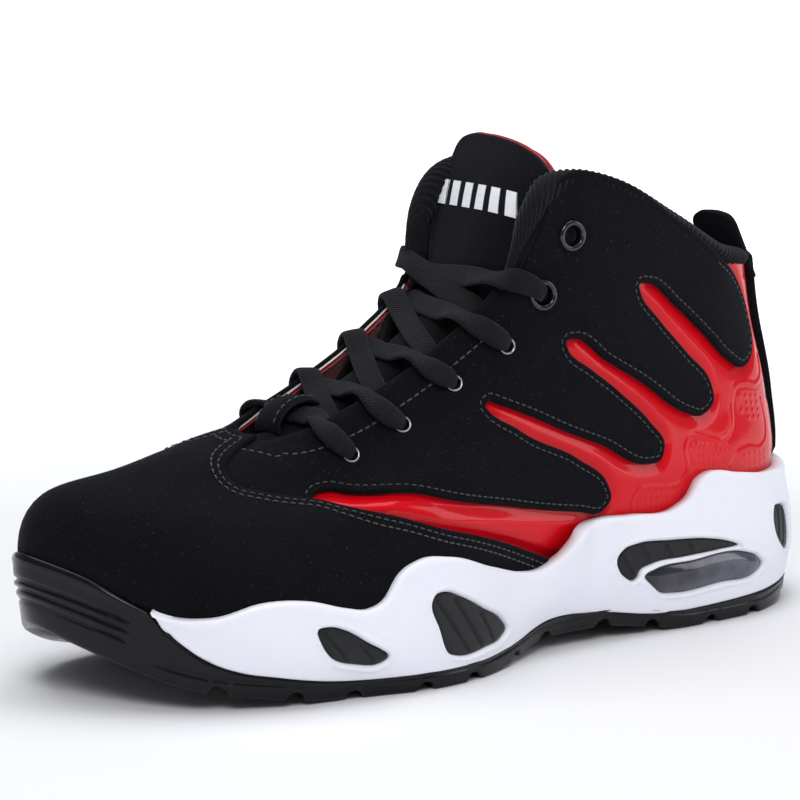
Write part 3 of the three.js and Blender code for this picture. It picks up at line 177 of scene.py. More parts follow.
def through(rows, x):
    """Smooth curve through rows [x, ...values]."""
    rows = np.asarray(rows, float)
    xs, ys = rows[:, 0], rows[:, 1:]
    x = np.clip(np.asarray(x, float), xs[0], xs[-1])
    h, m = slopes(xs, ys)
    i = np.clip(np.searchsorted(xs, x, side="right") - 1, 0, len(xs) - 2)
    return cubic(((x - xs[i]) / h[i])[..., None], h[i][..., None], ys[i], m[i], ys[i + 1], m[i + 1])


def value(rows, x):
    """Smooth curve through rows [x, value]."""
    return through(rows, x)[..., 0]


def step(low, high, x):
    p = np.clip((np.asarray(x, float) - low) / (high - low), 0, 1)
    return p * p * (3 - 2 * p)


def rounded(gap, reach):
    """Rises from 0 at an edge to 1 at that distance from it, steep at first."""
    return np.sqrt(np.clip(gap / reach, 0, 1))


def quarter_round(gap, radius):
    """The same along a quarter of a circle, level at the end."""
    e = np.clip(gap / radius, 0, 1)
    return np.sqrt(e * (2 - e))


def bump(x, centre, width):
    return np.exp(-(((x - centre) / width) ** 2))


def unit(a):
    return a / np.maximum(np.linalg.norm(a, axis=-1, keepdims=True), 1e-12)


def ring(outer, inner=None):
    """A ring table closed over both sides of the shoe, with neighbours past the toe for smoothness."""
    a = np.array(outer, float)
    b = np.array(inner or outer, float)
    rows = np.vstack([a[::-1] * [-1, 1, -1, 1], b[1:]])
    return np.vstack([rows[-3:-1] - [2, 0, 0, 0], rows, rows[1:3] + [2, 0, 0, 0]])


RINGS = [ring(FEATHER), ring(LOW), ring(MIDDLE), ring(HIGH), ring(MOUTH_OUTER, MOUTH_INNER)]
GROUND_RING = ring(GROUND)
WAIST_RING = ring(WAIST)


def wrap(t):
    """t brought back into one turn, -1 to 1."""
    return (np.asarray(t, float) + 1) % 2 - 1


def side(t):
    """s, which runs from the heel (0) to the toe (1) on both sides."""
    return np.abs(wrap(t))


def on_ring(rows, t):
    q = through(rows, wrap(t))
    return np.stack([q[..., 0], value(AXIS, q[..., 0]) + q[..., 1], q[..., 2]], -1)


def blend_levels(levels, points, v):
    """Smooth curve through stacked points at the given levels, one parameter for each column."""
    h, m = slopes(levels, points)
    v = np.clip(v, levels[0], levels[-1])
    i = np.clip(np.searchsorted(levels, v, side="right") - 1, 0, len(levels) - 2)
    k = np.arange(len(v))
    return cubic(((v - levels[i]) / h[i])[:, None], h[i][:, None], points[i, k], m[i, k], points[i + 1, k], m[i + 1, k])


def last_point(t, v):
    t, v = np.broadcast_arrays(np.asarray(t, float), np.asarray(v, float))
    points = np.stack([on_ring(rows, t.ravel()) for rows in RINGS])
    return blend_levels(LEVELS, points, v.ravel()).reshape(t.shape + (3,))


def normal_of(point, t, v, dt=0.004, dv=0.01):
    t, v = np.broadcast_arrays(np.asarray(t, float), np.asarray(v, float))
    along = point(t + dt, v) - point(t - dt, v)
    up = point(t, np.minimum(v + dv, 1)) - point(t, np.maximum(v - dv, 0))
    return unit(np.cross(along, up))


def last(t, v, offset=0.0):
    """Point on the last, or that far out from it."""
    return last_point(t, v) + last_normal(t, v) * np.asarray(offset, float)[..., None]


def last_normal(t, v):
    return normal_of(last_point, t, v)


def lining_depth(t, v):
    """How far the lining's face lies inside the last surface, past the layers in front of it."""
    s = side(t)
    behind_red = np.maximum(step(0.92, 0.86, s) * step(0.82, 0.74, v), step(0.56, 0.46, s))
    padded = np.maximum(step(0.8, 0.74, s) * step(0.72, 0.58, v), step(0.54, 0.44, s))
    return 2.8 + 2 * behind_red + 2.2 * padded + 4 * step(0.46, 0.32, s) * step(0.42, 0.85, v)


def hugged(s):
    """How far the sole's rim stands off the upper; it is sunk into it towards the heel."""
    return -1.6 + 4.7 * step(0.425, 0.462, s)


def rim_outer(t):
    s = side(t)
    return last(t, value(RIM, s), hugged(s) + 4.6 - 2.2 * step(0.4, 0.5, s))


def ground_point(t):
    p = on_ring(GROUND_RING, t)
    p[..., 2] = np.maximum(p[..., 2], 0)
    return p


def wall_rings(t):
    return np.stack([ground_point(t), on_ring(WAIST_RING, t), rim_outer(t)])


def wall_point(t, u):
    """Point on the sole's side, u running from the ground (0) to the rim (1)."""
    t, u = np.broadcast_arrays(np.asarray(t, float), np.asarray(u, float))
    return blend_levels(WALL_LEVELS, wall_rings(t.ravel()), u.ravel()).reshape(t.shape + (3,))


def wall_u(t, z):
    """Where on the sole's side the height z is reached."""
    t, z = np.broadcast_arrays(np.asarray(t, float), np.asarray(z, float))
    ft, fz = t.ravel(), z.ravel()
    points = wall_rings(ft)
    low, high = np.zeros(ft.shape), np.ones(ft.shape)
    for _ in range(HALVINGS):
        middle = (low + high) / 2
        below = blend_levels(WALL_LEVELS, points, middle)[:, 2] < fz
        low = np.where(below, middle, low)
        high = np.where(below, high, middle)
    return ((low + high) / 2).reshape(t.shape)


def wall(t, z, offset=0.0):
    """Point on the sole's side at a height, or that far out from it."""
    u = wall_u(t, z)
    return wall_point(t, u) + normal_of(wall_point, t, u) * np.asarray(offset, float)[..., None]


def tongue_frame(length):
    length = np.asarray(length, float)
    rows = np.array(TONGUE_LINE, float)
    low = np.minimum(length + 1, TONGUE_LENGTH) - 2
    a, b, c = through(rows, length), through(rows, low), through(rows, low + 2)
    along = unit(np.stack([c[..., 0] - b[..., 0], np.zeros(length.shape), c[..., 1] - b[..., 1]], -1))
    centre = np.stack([a[..., 0], value(AXIS, a[..., 0]), a[..., 1]], -1)
    centre = centre + along * np.maximum(length - TONGUE_LENGTH, 0)[..., None]
    out = np.stack([-along[..., 2], np.zeros(length.shape), along[..., 0]], -1)
    return centre, along, out


def on_tongue(w, length, offset=0.0):
    """Point on the tongue; its inner half lies flatter near the top, where it spreads over the collar's front."""
    w, length, offset = np.broadcast_arrays(*(np.asarray(a, float) for a in (w, length, offset)))
    centre, _, out = tongue_frame(length)
    crown = value(TONGUE_CROWN, length) * (1 - 0.9 * step(80, 112, length) * step(0, 6, w))
    p = centre + out * (offset - crown * w * w)[..., None]
    p[..., 1] += w
    return p


# ---------------------------------------------------------------- meshes


def linked(name, data):
    obj = bpy.data.objects.new(name, data)
    bpy.context.scene.collection.objects.link(obj)
    return obj


def make(name, points, faces, material, body="shoe_body", replaces=(), slot=None, uv=None, smooth=True):
    """An object from points in millimetres; uv gives one (a, b) for each point."""
    mesh = bpy.data.meshes.new(name)
    placed = (np.asarray(points, float).reshape(-1, 3) + PLACE) * 0.001
    mesh.from_pydata(placed.tolist(), [], [list(map(int, f)) for f in faces])
    mesh.validate()
    if uv is not None:
        layer = mesh.uv_layers.new(name="flat")
        loops = np.empty(len(mesh.loops), np.int64)
        mesh.loops.foreach_get("vertex_index", loops)
        layer.data.foreach_set("uv", (np.asarray(uv, float)[loops] * 0.001).ravel())
    mesh.update()
    if smooth:
        mesh.shade_smooth()
    obj = linked(name, mesh)
    obj.data.materials.append(material)
    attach(obj, body)
    if replaces:
        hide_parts(*replaces)
    return obj


def quads(rows, columns, close_rows=False, close_columns=False):
    """Faces of a grid of rows x columns points."""
    i = np.arange(rows if close_rows else rows - 1)
    j = np.arange(columns if close_columns else columns - 1)
    i, j = (a.ravel() for a in np.meshgrid(i, j, indexing="ij"))
    i1, j1 = (i + 1) % rows, (j + 1) % columns
    return np.stack([i * columns + j, i1 * columns + j, i1 * columns + j1, i * columns + j1], -1)


def tube(rows, columns):
    """Faces of a grid whose columns close into a tube, with its two end faces."""
    ends = [list(range(columns))[::-1], [(rows - 1) * columns + j for j in range(columns)]]
    return [*quads(rows, columns, close_columns=True).tolist(), *ends]


def join(parts):
    """Several (points, faces) in one."""
    points, faces, base = [], [], 0
    for p, f in parts:
        points.append(np.asarray(p, float).reshape(-1, 3))
        faces += [[int(k) + base for k in face] for face in f]
        base += len(points[-1])
    return np.vstack(points), faces


def lengths(points):
    """Distance run along a line of points, at each of them."""
    return np.concatenate([[0], np.cumsum(np.linalg.norm(np.diff(points, axis=0), axis=1))])


def inside(polygon, points):
    """Even-odd test of points against one closed polygon."""
    x, y = points[:, 0][:, None], points[:, 1][:, None]
    a, b = polygon, np.roll(polygon, -1, axis=0)
    cross = (a[:, 1] > y) != (b[:, 1] > y)
    at = a[:, 0] + (y - a[:, 1]) / np.where(b[:, 1] == a[:, 1], 1e-12, b[:, 1] - a[:, 1]) * (b[:, 0] - a[:, 0])
    return (np.sum(cross & (x < at), axis=1) % 2).astype(bool)


def nearest(points, samples):
    """Distance from each point to the nearest sample."""
    out = np.empty(len(points))
    for k in range(0, len(points), 800):
        d = points[k:k + 800, None, :] - samples[None]
        out[k:k + 800] = np.sqrt(np.einsum("ijk,ijk->ij", d, d).min(1))
    return out


def dense(pairs, place, spacing, closed=False):
    """A smooth line through parameter pairs, resampled evenly in space."""
    pairs = np.array(pairs, float)
    if closed:
        pairs = np.vstack([pairs[-3:], pairs, pairs[:3]])
    spots = place(pairs[:, 0], pairs[:, 1])
    length = lengths(spots)
    rows = np.column_stack([length, pairs])
    start, end = (length[3], length[-3]) if closed else (0, length[-1])
    fine = through(rows, np.linspace(start, end, max(8, int((end - start) / (spacing * 0.3)))))
    spots = place(fine[:, 0], fine[:, 1])
    run = lengths(spots)
    count = max(3, int(round(run[-1] / spacing)))
    at = np.linspace(0, run[-1], count + 1)[: count if closed else None]
    return np.column_stack([np.interp(at, run, fine[:, k]) for k in (0, 1)])


def loop_of(stretches, place, spacing=1.0):
    """Closed parameter loop from stretches, each smooth, and the stretch number of each point."""
    points, labels = [], []
    for number, stretch in enumerate(stretches):
        line = dense(stretch, place, spacing)
        line = line if number == 0 or np.abs(points[-1][-1] - line[0]).max() > 1e-4 else line[1:]
        points.append(line)
        labels.append(np.full(len(line), number))
    points, labels = np.vstack(points), np.concatenate(labels)
    if np.abs(points[0] - points[-1]).max() < 1e-4:
        points, labels = points[:-1], labels[:-1]
    return points, labels


def steps_along(place, s, v, e=1e-3):
    """How far a point moves with each of its two parameters, for one unit of it."""
    return (place(s + e, v) - place(s - e, v)) / (2 * e), (place(s, v + e) - place(s, v - e)) / (2 * e)


def inwards(loop, place):
    """Parameter step that moves each loop point one millimetre into the loop, along the surface."""
    ds, dv = steps_along(place, loop[:, 0], loop[:, 1])
    tangent = np.roll(loop, -1, axis=0) - np.roll(loop, 1, axis=0)
    along = unit(ds * tangent[:, :1] + dv * tangent[:, 1:])
    across = unit(np.cross(unit(np.cross(ds, dv)), along))
    a, b, c = (ds * ds).sum(1), (ds * dv).sum(1), (dv * dv).sum(1)
    p, q = (ds * across).sum(1), (dv * across).sum(1)
    det = np.maximum(a * c - b * b, 1e-9)
    moved = np.column_stack([(c * p - b * q) / det, (a * q - b * p) / det])
    x, y = loop[:, 0], loop[:, 1]
    area = np.sum(x * np.roll(y, -1) - np.roll(x, -1) * y)
    return moved * np.sign(area)


INSETS = (0.25, 0.6, 1.1, 1.7, 2.2, 2.6, 3.2, 4.2)


def panel(outer, holes, place, inner, height, spacing=3.0, insets=INSETS):
    """A cut panel: its face rises by height(distance, parameters) from its edge, and its back lies at `inner`.

    outer and holes are closed parameter loops. Returns points and faces."""
    ground = lambda q: place(q[:, 0], q[:, 1])
    loops = [outer, *holes]
    edge_points = np.vstack([ground(q) for q in loops])
    points = [*loops]
    gaps = [np.zeros(len(q)) for q in loops]
    flip = [1] + [-1] * len(holes)
    for loop, sign in zip(loops, flip):
        into = inwards(loop, place) * sign
        for gap in insets:
            ringed = loop + into * gap
            keep = nearest(ground(ringed), edge_points) > gap * 0.88
            if gap > 1:
                keep &= np.arange(len(loop)) % (2 if gap < 3 else 3) == 0
            points.append(ringed[keep])
            gaps.append(np.full(keep.sum(), gap))
    middle = outer.mean(0)
    low, high = outer.min(0), outer.max(0)
    unit_s = np.linalg.norm(np.diff(ground(np.array([middle, middle + [1e-3, 0]])), axis=0)) * 1e3
    unit_v = np.linalg.norm(np.diff(ground(np.array([middle, middle + [0, 1e-3]])), axis=0)) * 1e3
    a = np.arange(low[0], high[0], spacing / unit_s)
    b = np.arange(low[1], high[1], spacing / unit_v)
    grid = np.stack(np.meshgrid(a, b, indexing="ij"), -1)
    grid[1::2, :, 1] += spacing / unit_v / 2
    grid = grid.reshape(-1, 2)
    grid = grid[inside(outer, grid)]
    far = nearest(ground(grid), edge_points)
    grid, far = grid[far > insets[-1] + spacing * 0.4], far[far > insets[-1] + spacing * 0.4]
    points.append(grid)
    gaps.append(far)
    q, gap = np.vstack(points), np.concatenate(gaps)
    edges, base = [], 0
    for loop in loops:
        n = len(loop)
        edges += [(base + k, base + (k + 1) % n) for k in range(n)]
        base += n
    scale = [unit_s, unit_v]
    scaled = q * scale
    found, _, triangles, origin, _, _ = delaunay_2d_cdt([Vector(p) for p in scaled.tolist()], edges, [], 0, 1e-4)
    found = np.array([tuple(p) for p in found])
    triangles = np.array([f for f in triangles if len(f) == 3])
    centres = found[triangles].mean(1)
    keep = inside(outer * scale, centres)
    for hole in holes:
        keep &= ~inside(hole * scale, centres)
    triangles = triangles[keep]
    source = np.array([o[0] if o else 0 for o in origin])
    q = found / scale
    gap = gap[source]
    used = np.unique(triangles)
    renumber = np.full(len(q), -1)
    renumber[used] = np.arange(len(used))
    triangles, q, gap, source = renumber[triangles], q[used], gap[used], source[used]
    face = place(q[:, 0], q[:, 1], height(gap, q))
    back = place(q[:, 0], q[:, 1], np.full(len(q), inner) if np.isscalar(inner) else inner(q))
    n = len(q)
    faces = [*triangles.tolist(), *(triangles[:, ::-1] + n).tolist()]
    sides = dict.fromkeys(pair for a, b, c in triangles.tolist() for pair in ((a, b), (b, c), (c, a)))
    faces += [[y, x, x + n, y + n] for x, y in sides if (y, x) not in sides]
    return np.vstack([face, back]), faces


def stitch_rows(paths, pitch=3.1, length=2.3, radius=0.3):
    """Thread stitches along (points, normals) paths, as one set of points and faces."""
    parts = []
    shape = [(0, 0.25, -0.15), (0.12, 0.75, 0.05), (0.35, 1, 0.2), (0.65, 1, 0.2), (0.88, 0.75, 0.05), (1, 0.25, -0.15)]
    angles = np.arange(6) * math.pi / 3
    for points, normals in paths:
        run = lengths(points)
        starts = np.arange(0.4, run[-1] - length, pitch)
        if not len(starts):
            continue
        pick = lambda data, at: np.column_stack([np.interp(at, run, data[:, k]) for k in range(3)])
        sections = []
        for share, size, lift in shape:
            at = starts + share * length
            centre, up = pick(points, at), unit(pick(normals, at))
            along = unit(pick(points, at + 0.3) - pick(points, at - 0.3))
            across = unit(np.cross(along, up))
            centre = centre + up * lift
            sections.append(centre[:, None] + radius * size * (
                np.cos(angles)[None, :, None] * across[:, None] + np.sin(angles)[None, :, None] * up[:, None] * 0.8))
        block = np.stack(sections, 1)
        parts += [(stitch, tube(len(shape), len(angles))) for stitch in block]
    return join(parts)


def stitch_path(loop, labels, wanted, place, gap, height):
    """Parts of a loop's inset line that belong to the wanted stretches, as (points, normals) paths."""
    line = loop + inwards(loop, place) * gap
    edge = place(loop[:, 0], loop[:, 1])
    spot = place(line[:, 0], line[:, 1])
    keep = np.isin(labels, wanted) & (nearest(spot, edge) > gap * 0.9)
    normals = unit(np.cross(*steps_along(place, line[:, 0], line[:, 1])))
    points = place(line[:, 0], line[:, 1], np.full(len(line), height))
    paths, start = [], None
    for k in range(len(line) + 1):
        on = k < len(line) and keep[k]
        if on and start is None:
            start = k
        if not on and start is not None:
            if k - start > 4:
                paths.append((points[start:k], normals[start:k]))
            start = None
    return paths


def disc(t, v, radius, place, count=26):
    """Closed parameter loop of a round hole of that radius in millimetres."""
    ds, dv = steps_along(place, t, v)
    first = unit(ds)
    second = unit(np.cross(np.cross(ds, dv), ds))
    angle = np.arange(count) * TURN / count
    wanted = radius * (np.cos(angle)[:, None] * first + np.sin(angle)[:, None] * second)
    a, b, c = ds @ ds, ds @ dv, dv @ dv
    p, q = wanted @ ds, wanted @ dv
    det = a * c - b * b
    return np.column_stack([t + (c * p - b * q) / det, v + (a * q - b * p) / det])


EDGE_RADIUS = 1.1


def rolled(low, high, groove=2.4, puff=0.3):
    """Height of a soft panel over its edge distance: a rolled edge, a stitched-down line, a slight fullness."""
    def height(gap, q):
        rise = low + (high - low) * quarter_round(gap, EDGE_RADIUS)
        line = 0.24 * bump(gap, groove, 0.42) if groove else 0
        return rise - line + puff * step(2.8, 9, gap)
    return height


def lathe(profile, t, v, segments=40):
    """Ring from a closed [radius, height] profile, standing on the last at (t, v)."""
    n = last_normal(t, v)
    first = unit(np.cross(n, [0.3, 0.2, 1]))
    second = np.cross(n, first)
    centre = last(t, v)
    angle = np.arange(segments) * TURN / segments
    round_ = np.cos(angle)[:, None] * first + np.sin(angle)[:, None] * second
    profile = np.array(profile, float)
    points = centre + profile[None, :, :1] * round_[:, None] + profile[None, :, 1:] * n
    return points.reshape(-1, 3), quads(segments, len(profile), True, True).tolist()


def slab(grid_low, grid_high):
    """Closed body between two grids of points of the same shape."""
    rows, columns = grid_low.shape[:2]
    n = rows * columns
    faces = [*(quads(rows, columns) + n).tolist(), *quads(rows, columns)[:, ::-1].tolist()]
    edge = ([(i, 0) for i in range(rows)] + [(rows - 1, j) for j in range(1, columns)]
            + [(i, columns - 1) for i in range(rows - 2, -1, -1)] + [(0, j) for j in range(columns - 2, 0, -1)])
    ids = [i * columns + j for i, j in edge]
    faces += [[a, a + n, b + n, b] for a, b in zip(ids, ids[1:] + ids[:1])]
    return np.vstack([grid_low.reshape(-1, 3), grid_high.reshape(-1, 3)]), faces


def skin(sign, back, face):
    """A slab whose faces point outwards on that side of the shoe."""
    return slab(back, face) if sign > 0 else slab(face, back)


def outwards(loop):
    """Level directions out of a closed loop of points."""
    ahead = np.roll(loop, -1, axis=0) - np.roll(loop, 1, axis=0)
    return unit(np.stack([ahead[:, 1], -ahead[:, 0], 0 * ahead[:, 0]], -1))


def evened(loop):
    """A closed loop drawn onto its middle line, where its two sides then meet."""
    n = len(loop)
    return (loop + loop[(n - np.arange(n)) % n]) / 2


# ---------------------------------------------------------------- materials


class Surface:
    """A procedural material built round one Principled shader."""

    def __init__(self, name, colour, roughness, **settings):
        self.material = bpy.data.materials.new(name)
        self.material.use_nodes = True
        self.tree = self.material.node_tree
        self.shader = self.tree.nodes["Principled BSDF"]
        self.colour = (*colour, 1)
        self.shader.inputs["Base Color"].default_value = self.colour
        self.shader.inputs["Roughness"].default_value = roughness
        self.material.diffuse_color = self.colour
        for key, setting in settings.items():
            self.shader.inputs[key.replace("_", " ")].default_value = setting
        self.at = None
        self.height = None

    def node(self, kind, **inputs):
        node = self.tree.nodes.new(kind)
        for key, given in inputs.items():
            socket = node.inputs[int(key[1:]) if key[0] == "i" and key[1:].isdigit() else key.replace("_", " ")]
            if hasattr(given, "is_output"):
                self.tree.links.new(given, socket)
            else:
                socket.default_value = given
        return node

    def place(self, flat=False):
        if flat:
            node = self.tree.nodes.new("ShaderNodeUVMap")
            node.uv_map = "flat"
            return node.outputs["UV"]
        if self.at is None:
            self.at = self.tree.nodes.new("ShaderNodeTexCoord").outputs["Object"]
        return self.at

    def noise(self, size, detail=4, roughness=0.55):
        """Noise with features of about `size` millimetres."""
        node = self.node("ShaderNodeTexNoise", Vector=self.place(), Scale=1000 / size, Detail=detail,
                         Roughness=roughness)
        return node.outputs["Fac"]

    def cells(self, size, feature="F1", randomness=1.0):
        node = self.node("ShaderNodeTexVoronoi", Vector=self.place(), Scale=1000 / size, Randomness=randomness)
        node.feature = feature
        return node.outputs["Distance"]

    def maths(self, operation, *values):
        node = self.tree.nodes.new("ShaderNodeMath")
        node.operation = operation
        for i, given in enumerate(values):
            if hasattr(given, "is_output"):
                self.tree.links.new(given, node.inputs[i])
            else:
                node.inputs[i].default_value = given
        return node.outputs[0]

    def ramp(self, given, low, high, out_low=0.0, out_high=1.0):
        node = self.node("ShaderNodeMapRange", i0=given, i1=low, i2=high, i3=out_low, i4=out_high)
        return node.outputs[0]

    def tint(self, share, colour):
        """Mixes another colour into the base by a 0-1 share."""
        node = self.tree.nodes.new("ShaderNodeMix")
        node.data_type = "RGBA"
        self.tree.links.new(share, node.inputs[0])
        socket = self.shader.inputs["Base Color"]
        if socket.links:
            self.tree.links.new(socket.links[0].from_socket, node.inputs[6])
        else:
            node.inputs[6].default_value = self.colour
        node.inputs[7].default_value = (*colour, 1)
        self.tree.links.new(node.outputs[2], socket)
        return self

    def rough(self, given):
        self.tree.links.new(given, self.shader.inputs["Roughness"])
        return self

    def relief(self, given, depth, strength=1.0):
        """Adds a fine relief `depth` millimetres deep."""
        node = self.node("ShaderNodeBump", Height=given, Distance=depth / 1000, Strength=strength)
        if self.height is not None:
            self.tree.links.new(self.height, node.inputs["Normal"])
        self.height = node.outputs["Normal"]
        self.tree.links.new(self.height, self.shader.inputs["Normal"])
        return self


def nubuck_like(name, colour, pale, sheen=0.06):
    s = Surface(name, colour, 0.95, Sheen_Weight=sheen, Sheen_Roughness=0.5, Sheen_Tint=(0.6, 0.66, 0.85, 1),
                Specular_IOR_Level=0.1)
    s.tint(s.ramp(s.noise(11, 5, 0.6), 0.35, 0.75, 0, 0.5), pale)
    specks = s.ramp(s.noise(0.6, 2, 0.4), 0.69, 0.74, 0, 0.45)
    s.tint(specks, (0.07, 0.073, 0.085))
    s.relief(s.noise(0.45, 3), 0.08, 0.8)
    s.relief(s.noise(6, 3), 0.3, 0.3)
    return s.material


def thread_like(name, colour):
    s = Surface(name, colour, 0.62, Sheen_Weight=0.3)
    return s.tint(s.noise(0.6), tuple(c * 0.55 for c in colour)).material


def cloth(name, colour, second, size=1.1, depth=0.22, sheen=0.35):
    """Knitted mesh: small holes in rows."""
    s = Surface(name, colour, 0.95, Sheen_Weight=sheen, Sheen_Roughness=0.5, Specular_IOR_Level=0.2)
    holes = s.cells(size, randomness=0.12)
    # The holes are painted darker: painted shade in the mesh's holes.
    s.tint(s.ramp(holes, 0.3, 0.12, 0, 0.8), second)
    s.tint(s.ramp(s.noise(14), 0.4, 0.7, 0, 0.3), second)
    s.relief(holes, depth)
    s.relief(s.noise(0.3), 0.05)
    return s.material


def lace_like():
    s = Surface("flat woven lace", (0.0048, 0.0047, 0.0066), 0.8, Sheen_Weight=0.06, Sheen_Roughness=0.4,
                Sheen_Tint=(0.75, 0.8, 1, 1), Specular_IOR_Level=0.2)
    parts = s.node("ShaderNodeSeparateXYZ", i0=s.place(flat=True))
    along, over = parts.outputs[0], parts.outputs[1]
    rows = s.maths("MULTIPLY", over, TURN / 0.00078)
    picks = s.maths("MULTIPLY", along, TURN / 0.00105)
    lean = s.maths("ADD", picks, s.maths("MULTIPLY", rows, 0.5))
    height = s.maths("MULTIPLY", s.maths("SINE", rows), s.maths("SINE", lean))
    # The weave's low parts are painted darker: painted shade in the hollows between the threads.
    s.tint(s.ramp(height, 0.35, -0.7, 0, 0.9), (0.0016, 0.0016, 0.002))
    s.tint(s.ramp(s.noise(0.45, 2), 0.6, 0.75, 0, 0.5), (0.015, 0.015, 0.021))
    s.tint(s.ramp(s.noise(5, 3), 0.45, 0.75, 0, 0.3), (0.009, 0.009, 0.0125))
    s.relief(height, 0.2)
    return s.material


def patent_like():
    s = Surface("red patent", (0.66, 0.003, 0.01), 0.28, Coat_Weight=0.36, Coat_Roughness=0.06, Specular_IOR_Level=0.05)
    s.tint(s.ramp(s.noise(22, 3), 0.35, 0.75, 0, 0.35), (0.54, 0.003, 0.01))
    s.relief(s.noise(16, 2), 0.55, 0.55)
    s.relief(s.noise(0.8, 2), 0.012, 0.5)
    return s.material


def foam_sole_like():
    s = Surface("pale moulded foam", (0.87, 0.875, 0.96), 0.5, Subsurface_Weight=0.12,
                Subsurface_Radius=(0.8, 0.85, 1.0), Subsurface_Scale=0.0015, Sheen_Weight=0.08)
    s.tint(s.ramp(s.noise(28, 4), 0.4, 0.75, 0, 0.3), (0.82, 0.83, 0.93))
    s.relief(s.noise(0.7, 3), 0.035)
    return s.material


def rubber_like():
    s = Surface("satin black rubber", (0.0026, 0.0026, 0.0042), 0.24, Specular_IOR_Level=0.24)
    s.rough(s.ramp(s.noise(5, 4), 0.3, 0.7, 0.17, 0.3))
    s.tint(s.ramp(s.noise(12, 4), 0.45, 0.8, 0, 0.6), (0.005, 0.005, 0.008))
    s.relief(s.noise(0.6, 3), 0.03)
    return s.material


def insert_like():
    s = Surface("grained dark insert", (0.008, 0.0083, 0.0098), 0.48, Specular_IOR_Level=0.3)
    s.tint(s.ramp(s.noise(0.7, 2), 0.55, 0.7, 0, 0.4), (0.024, 0.025, 0.029))
    s.relief(s.noise(0.6, 3), 0.1)
    return s.material


def air_like():
    s = Surface("smoky air unit", (0.012, 0.012, 0.016), 0.14, Transmission_Weight=0.15, IOR=1.42, Coat_Weight=0.6,
                Coat_Roughness=0.03, Specular_IOR_Level=0.3)
    spot = s.node("ShaderNodeSeparateXYZ", i0=s.place())
    # Painted light: the colour grows lighter towards the heel end, as light falls through the clear unit; the noise
    # breaks this into patches of inner detail.
    back = s.ramp(spot.outputs[0], 0.06, 0.105)
    s.tint(s.maths("MULTIPLY", back, s.ramp(s.noise(9, 3), 0.3, 0.6, 0.2, 0.9)), (0.12, 0.12, 0.16))
    # Painted highlight: lighter along the bottom of the unit.
    s.tint(s.ramp(spot.outputs[2], 0.0185, 0.0145, 0, 0.5), (0.08, 0.08, 0.11))
    s.relief(s.noise(9, 2), 0.4, 0.4)
    return s.material


def simple(name, colour, roughness, size=1.2, depth=0.04, second=None, **settings):
    s = Surface(name, colour, roughness, **settings)
    s.tint(s.ramp(s.noise(size * 6, 4), 0.4, 0.75, 0, 0.5), second or tuple(c * 0.75 for c in colour))
    s.relief(s.noise(size, 3), depth)
    return s.material


NUBUCK = nubuck_like("black nubuck", (0.003, 0.003, 0.0042), (0.0052, 0.0052, 0.0074), 0.04)
NUBUCK_TONGUE = nubuck_like("black nubuck tongue", (0.0034, 0.0034, 0.0048), (0.006, 0.006, 0.0082), 0.05)
THREAD = thread_like("dark thread", (0.03, 0.031, 0.037))
PALE_THREAD = thread_like("grey thread", (0.05, 0.051, 0.06))
PATENT = patent_like()
EVA = foam_sole_like()
RUBBER = rubber_like()
INSERT = insert_like()
AIR = air_like()
AIR_BACK = simple("air unit backing", (0.012, 0.0125, 0.016), 0.35, 2.2, 0.3, (0.2, 0.205, 0.26))
BINDING = nubuck_like("black knit binding", (0.0062, 0.0063, 0.0072), (0.011, 0.0112, 0.0128), 0.12)
LINING_CLOTH = cloth("red mesh lining", (0.3, 0.008, 0.014), (0.12, 0.003, 0.006))
FOAM = simple("pale foam", (0.72, 0.7, 0.66), 0.95, 0.8, 0.12)
BOARD = simple("tan fibreboard", (0.5, 0.42, 0.3), 0.95, 0.9, 0.06)
SHANK_PLASTIC = simple("shank plastic", (0.03, 0.03, 0.032), 0.5)
SILVER = simple("eyelet metal", (0.42, 0.43, 0.46), 0.3, 2, 0.01, (0.3, 0.31, 0.33), Metallic=1.0)
ENAMEL = simple("black enamel", (0.005, 0.005, 0.0065), 0.2, 3, 0.01, Coat_Weight=0.5, Coat_Roughness=0.05,
                Specular_IOR_Level=0.3)
LACE_CLOTH = lace_like()
TIP = simple("lace tip", (0.01, 0.01, 0.011), 0.2, 2, 0.01, Coat_Weight=0.8)
MARK = simple("white print", (0.74, 0.75, 0.79), 0.6, 0.6, 0.03)
COLLAR_CLOTH = cloth("black knit lining", (0.011, 0.011, 0.0125), (0.004, 0.004, 0.005), 1.0, 0.2, 0.2)
SOCK = cloth("insole cloth", (0.018, 0.018, 0.02), (0.008, 0.008, 0.009), 0.9, 0.12)

SIDES = (("outer", -1), ("inner", 1))

# ---------------------------------------------------------------- upper


# The quarter's edge, as stretches of [s, v]: the throat, down to the collar, the collar's top, the fingers, the front.
QUARTER_EDGE = [
    [[0.985, 1], [0.8, 1], [0.61, 1]],
    [[0.61, 1], [0.606, 0.98], [0.598, 0.95]],
    [[0.598, 0.95], [0.58, 0.925], [0.55, 0.91], [0.52, 0.92], [0.49, 0.95], [0.465, 0.98], [0.44, 0.994],
     [0.4, 0.996], [0.3, 0.99], [0.22, 0.975], [0.2, 0.965]],
    FINGERS,
    QUARTER_FRONT,
]
THROAT, FINGER_EDGE = 0, 3


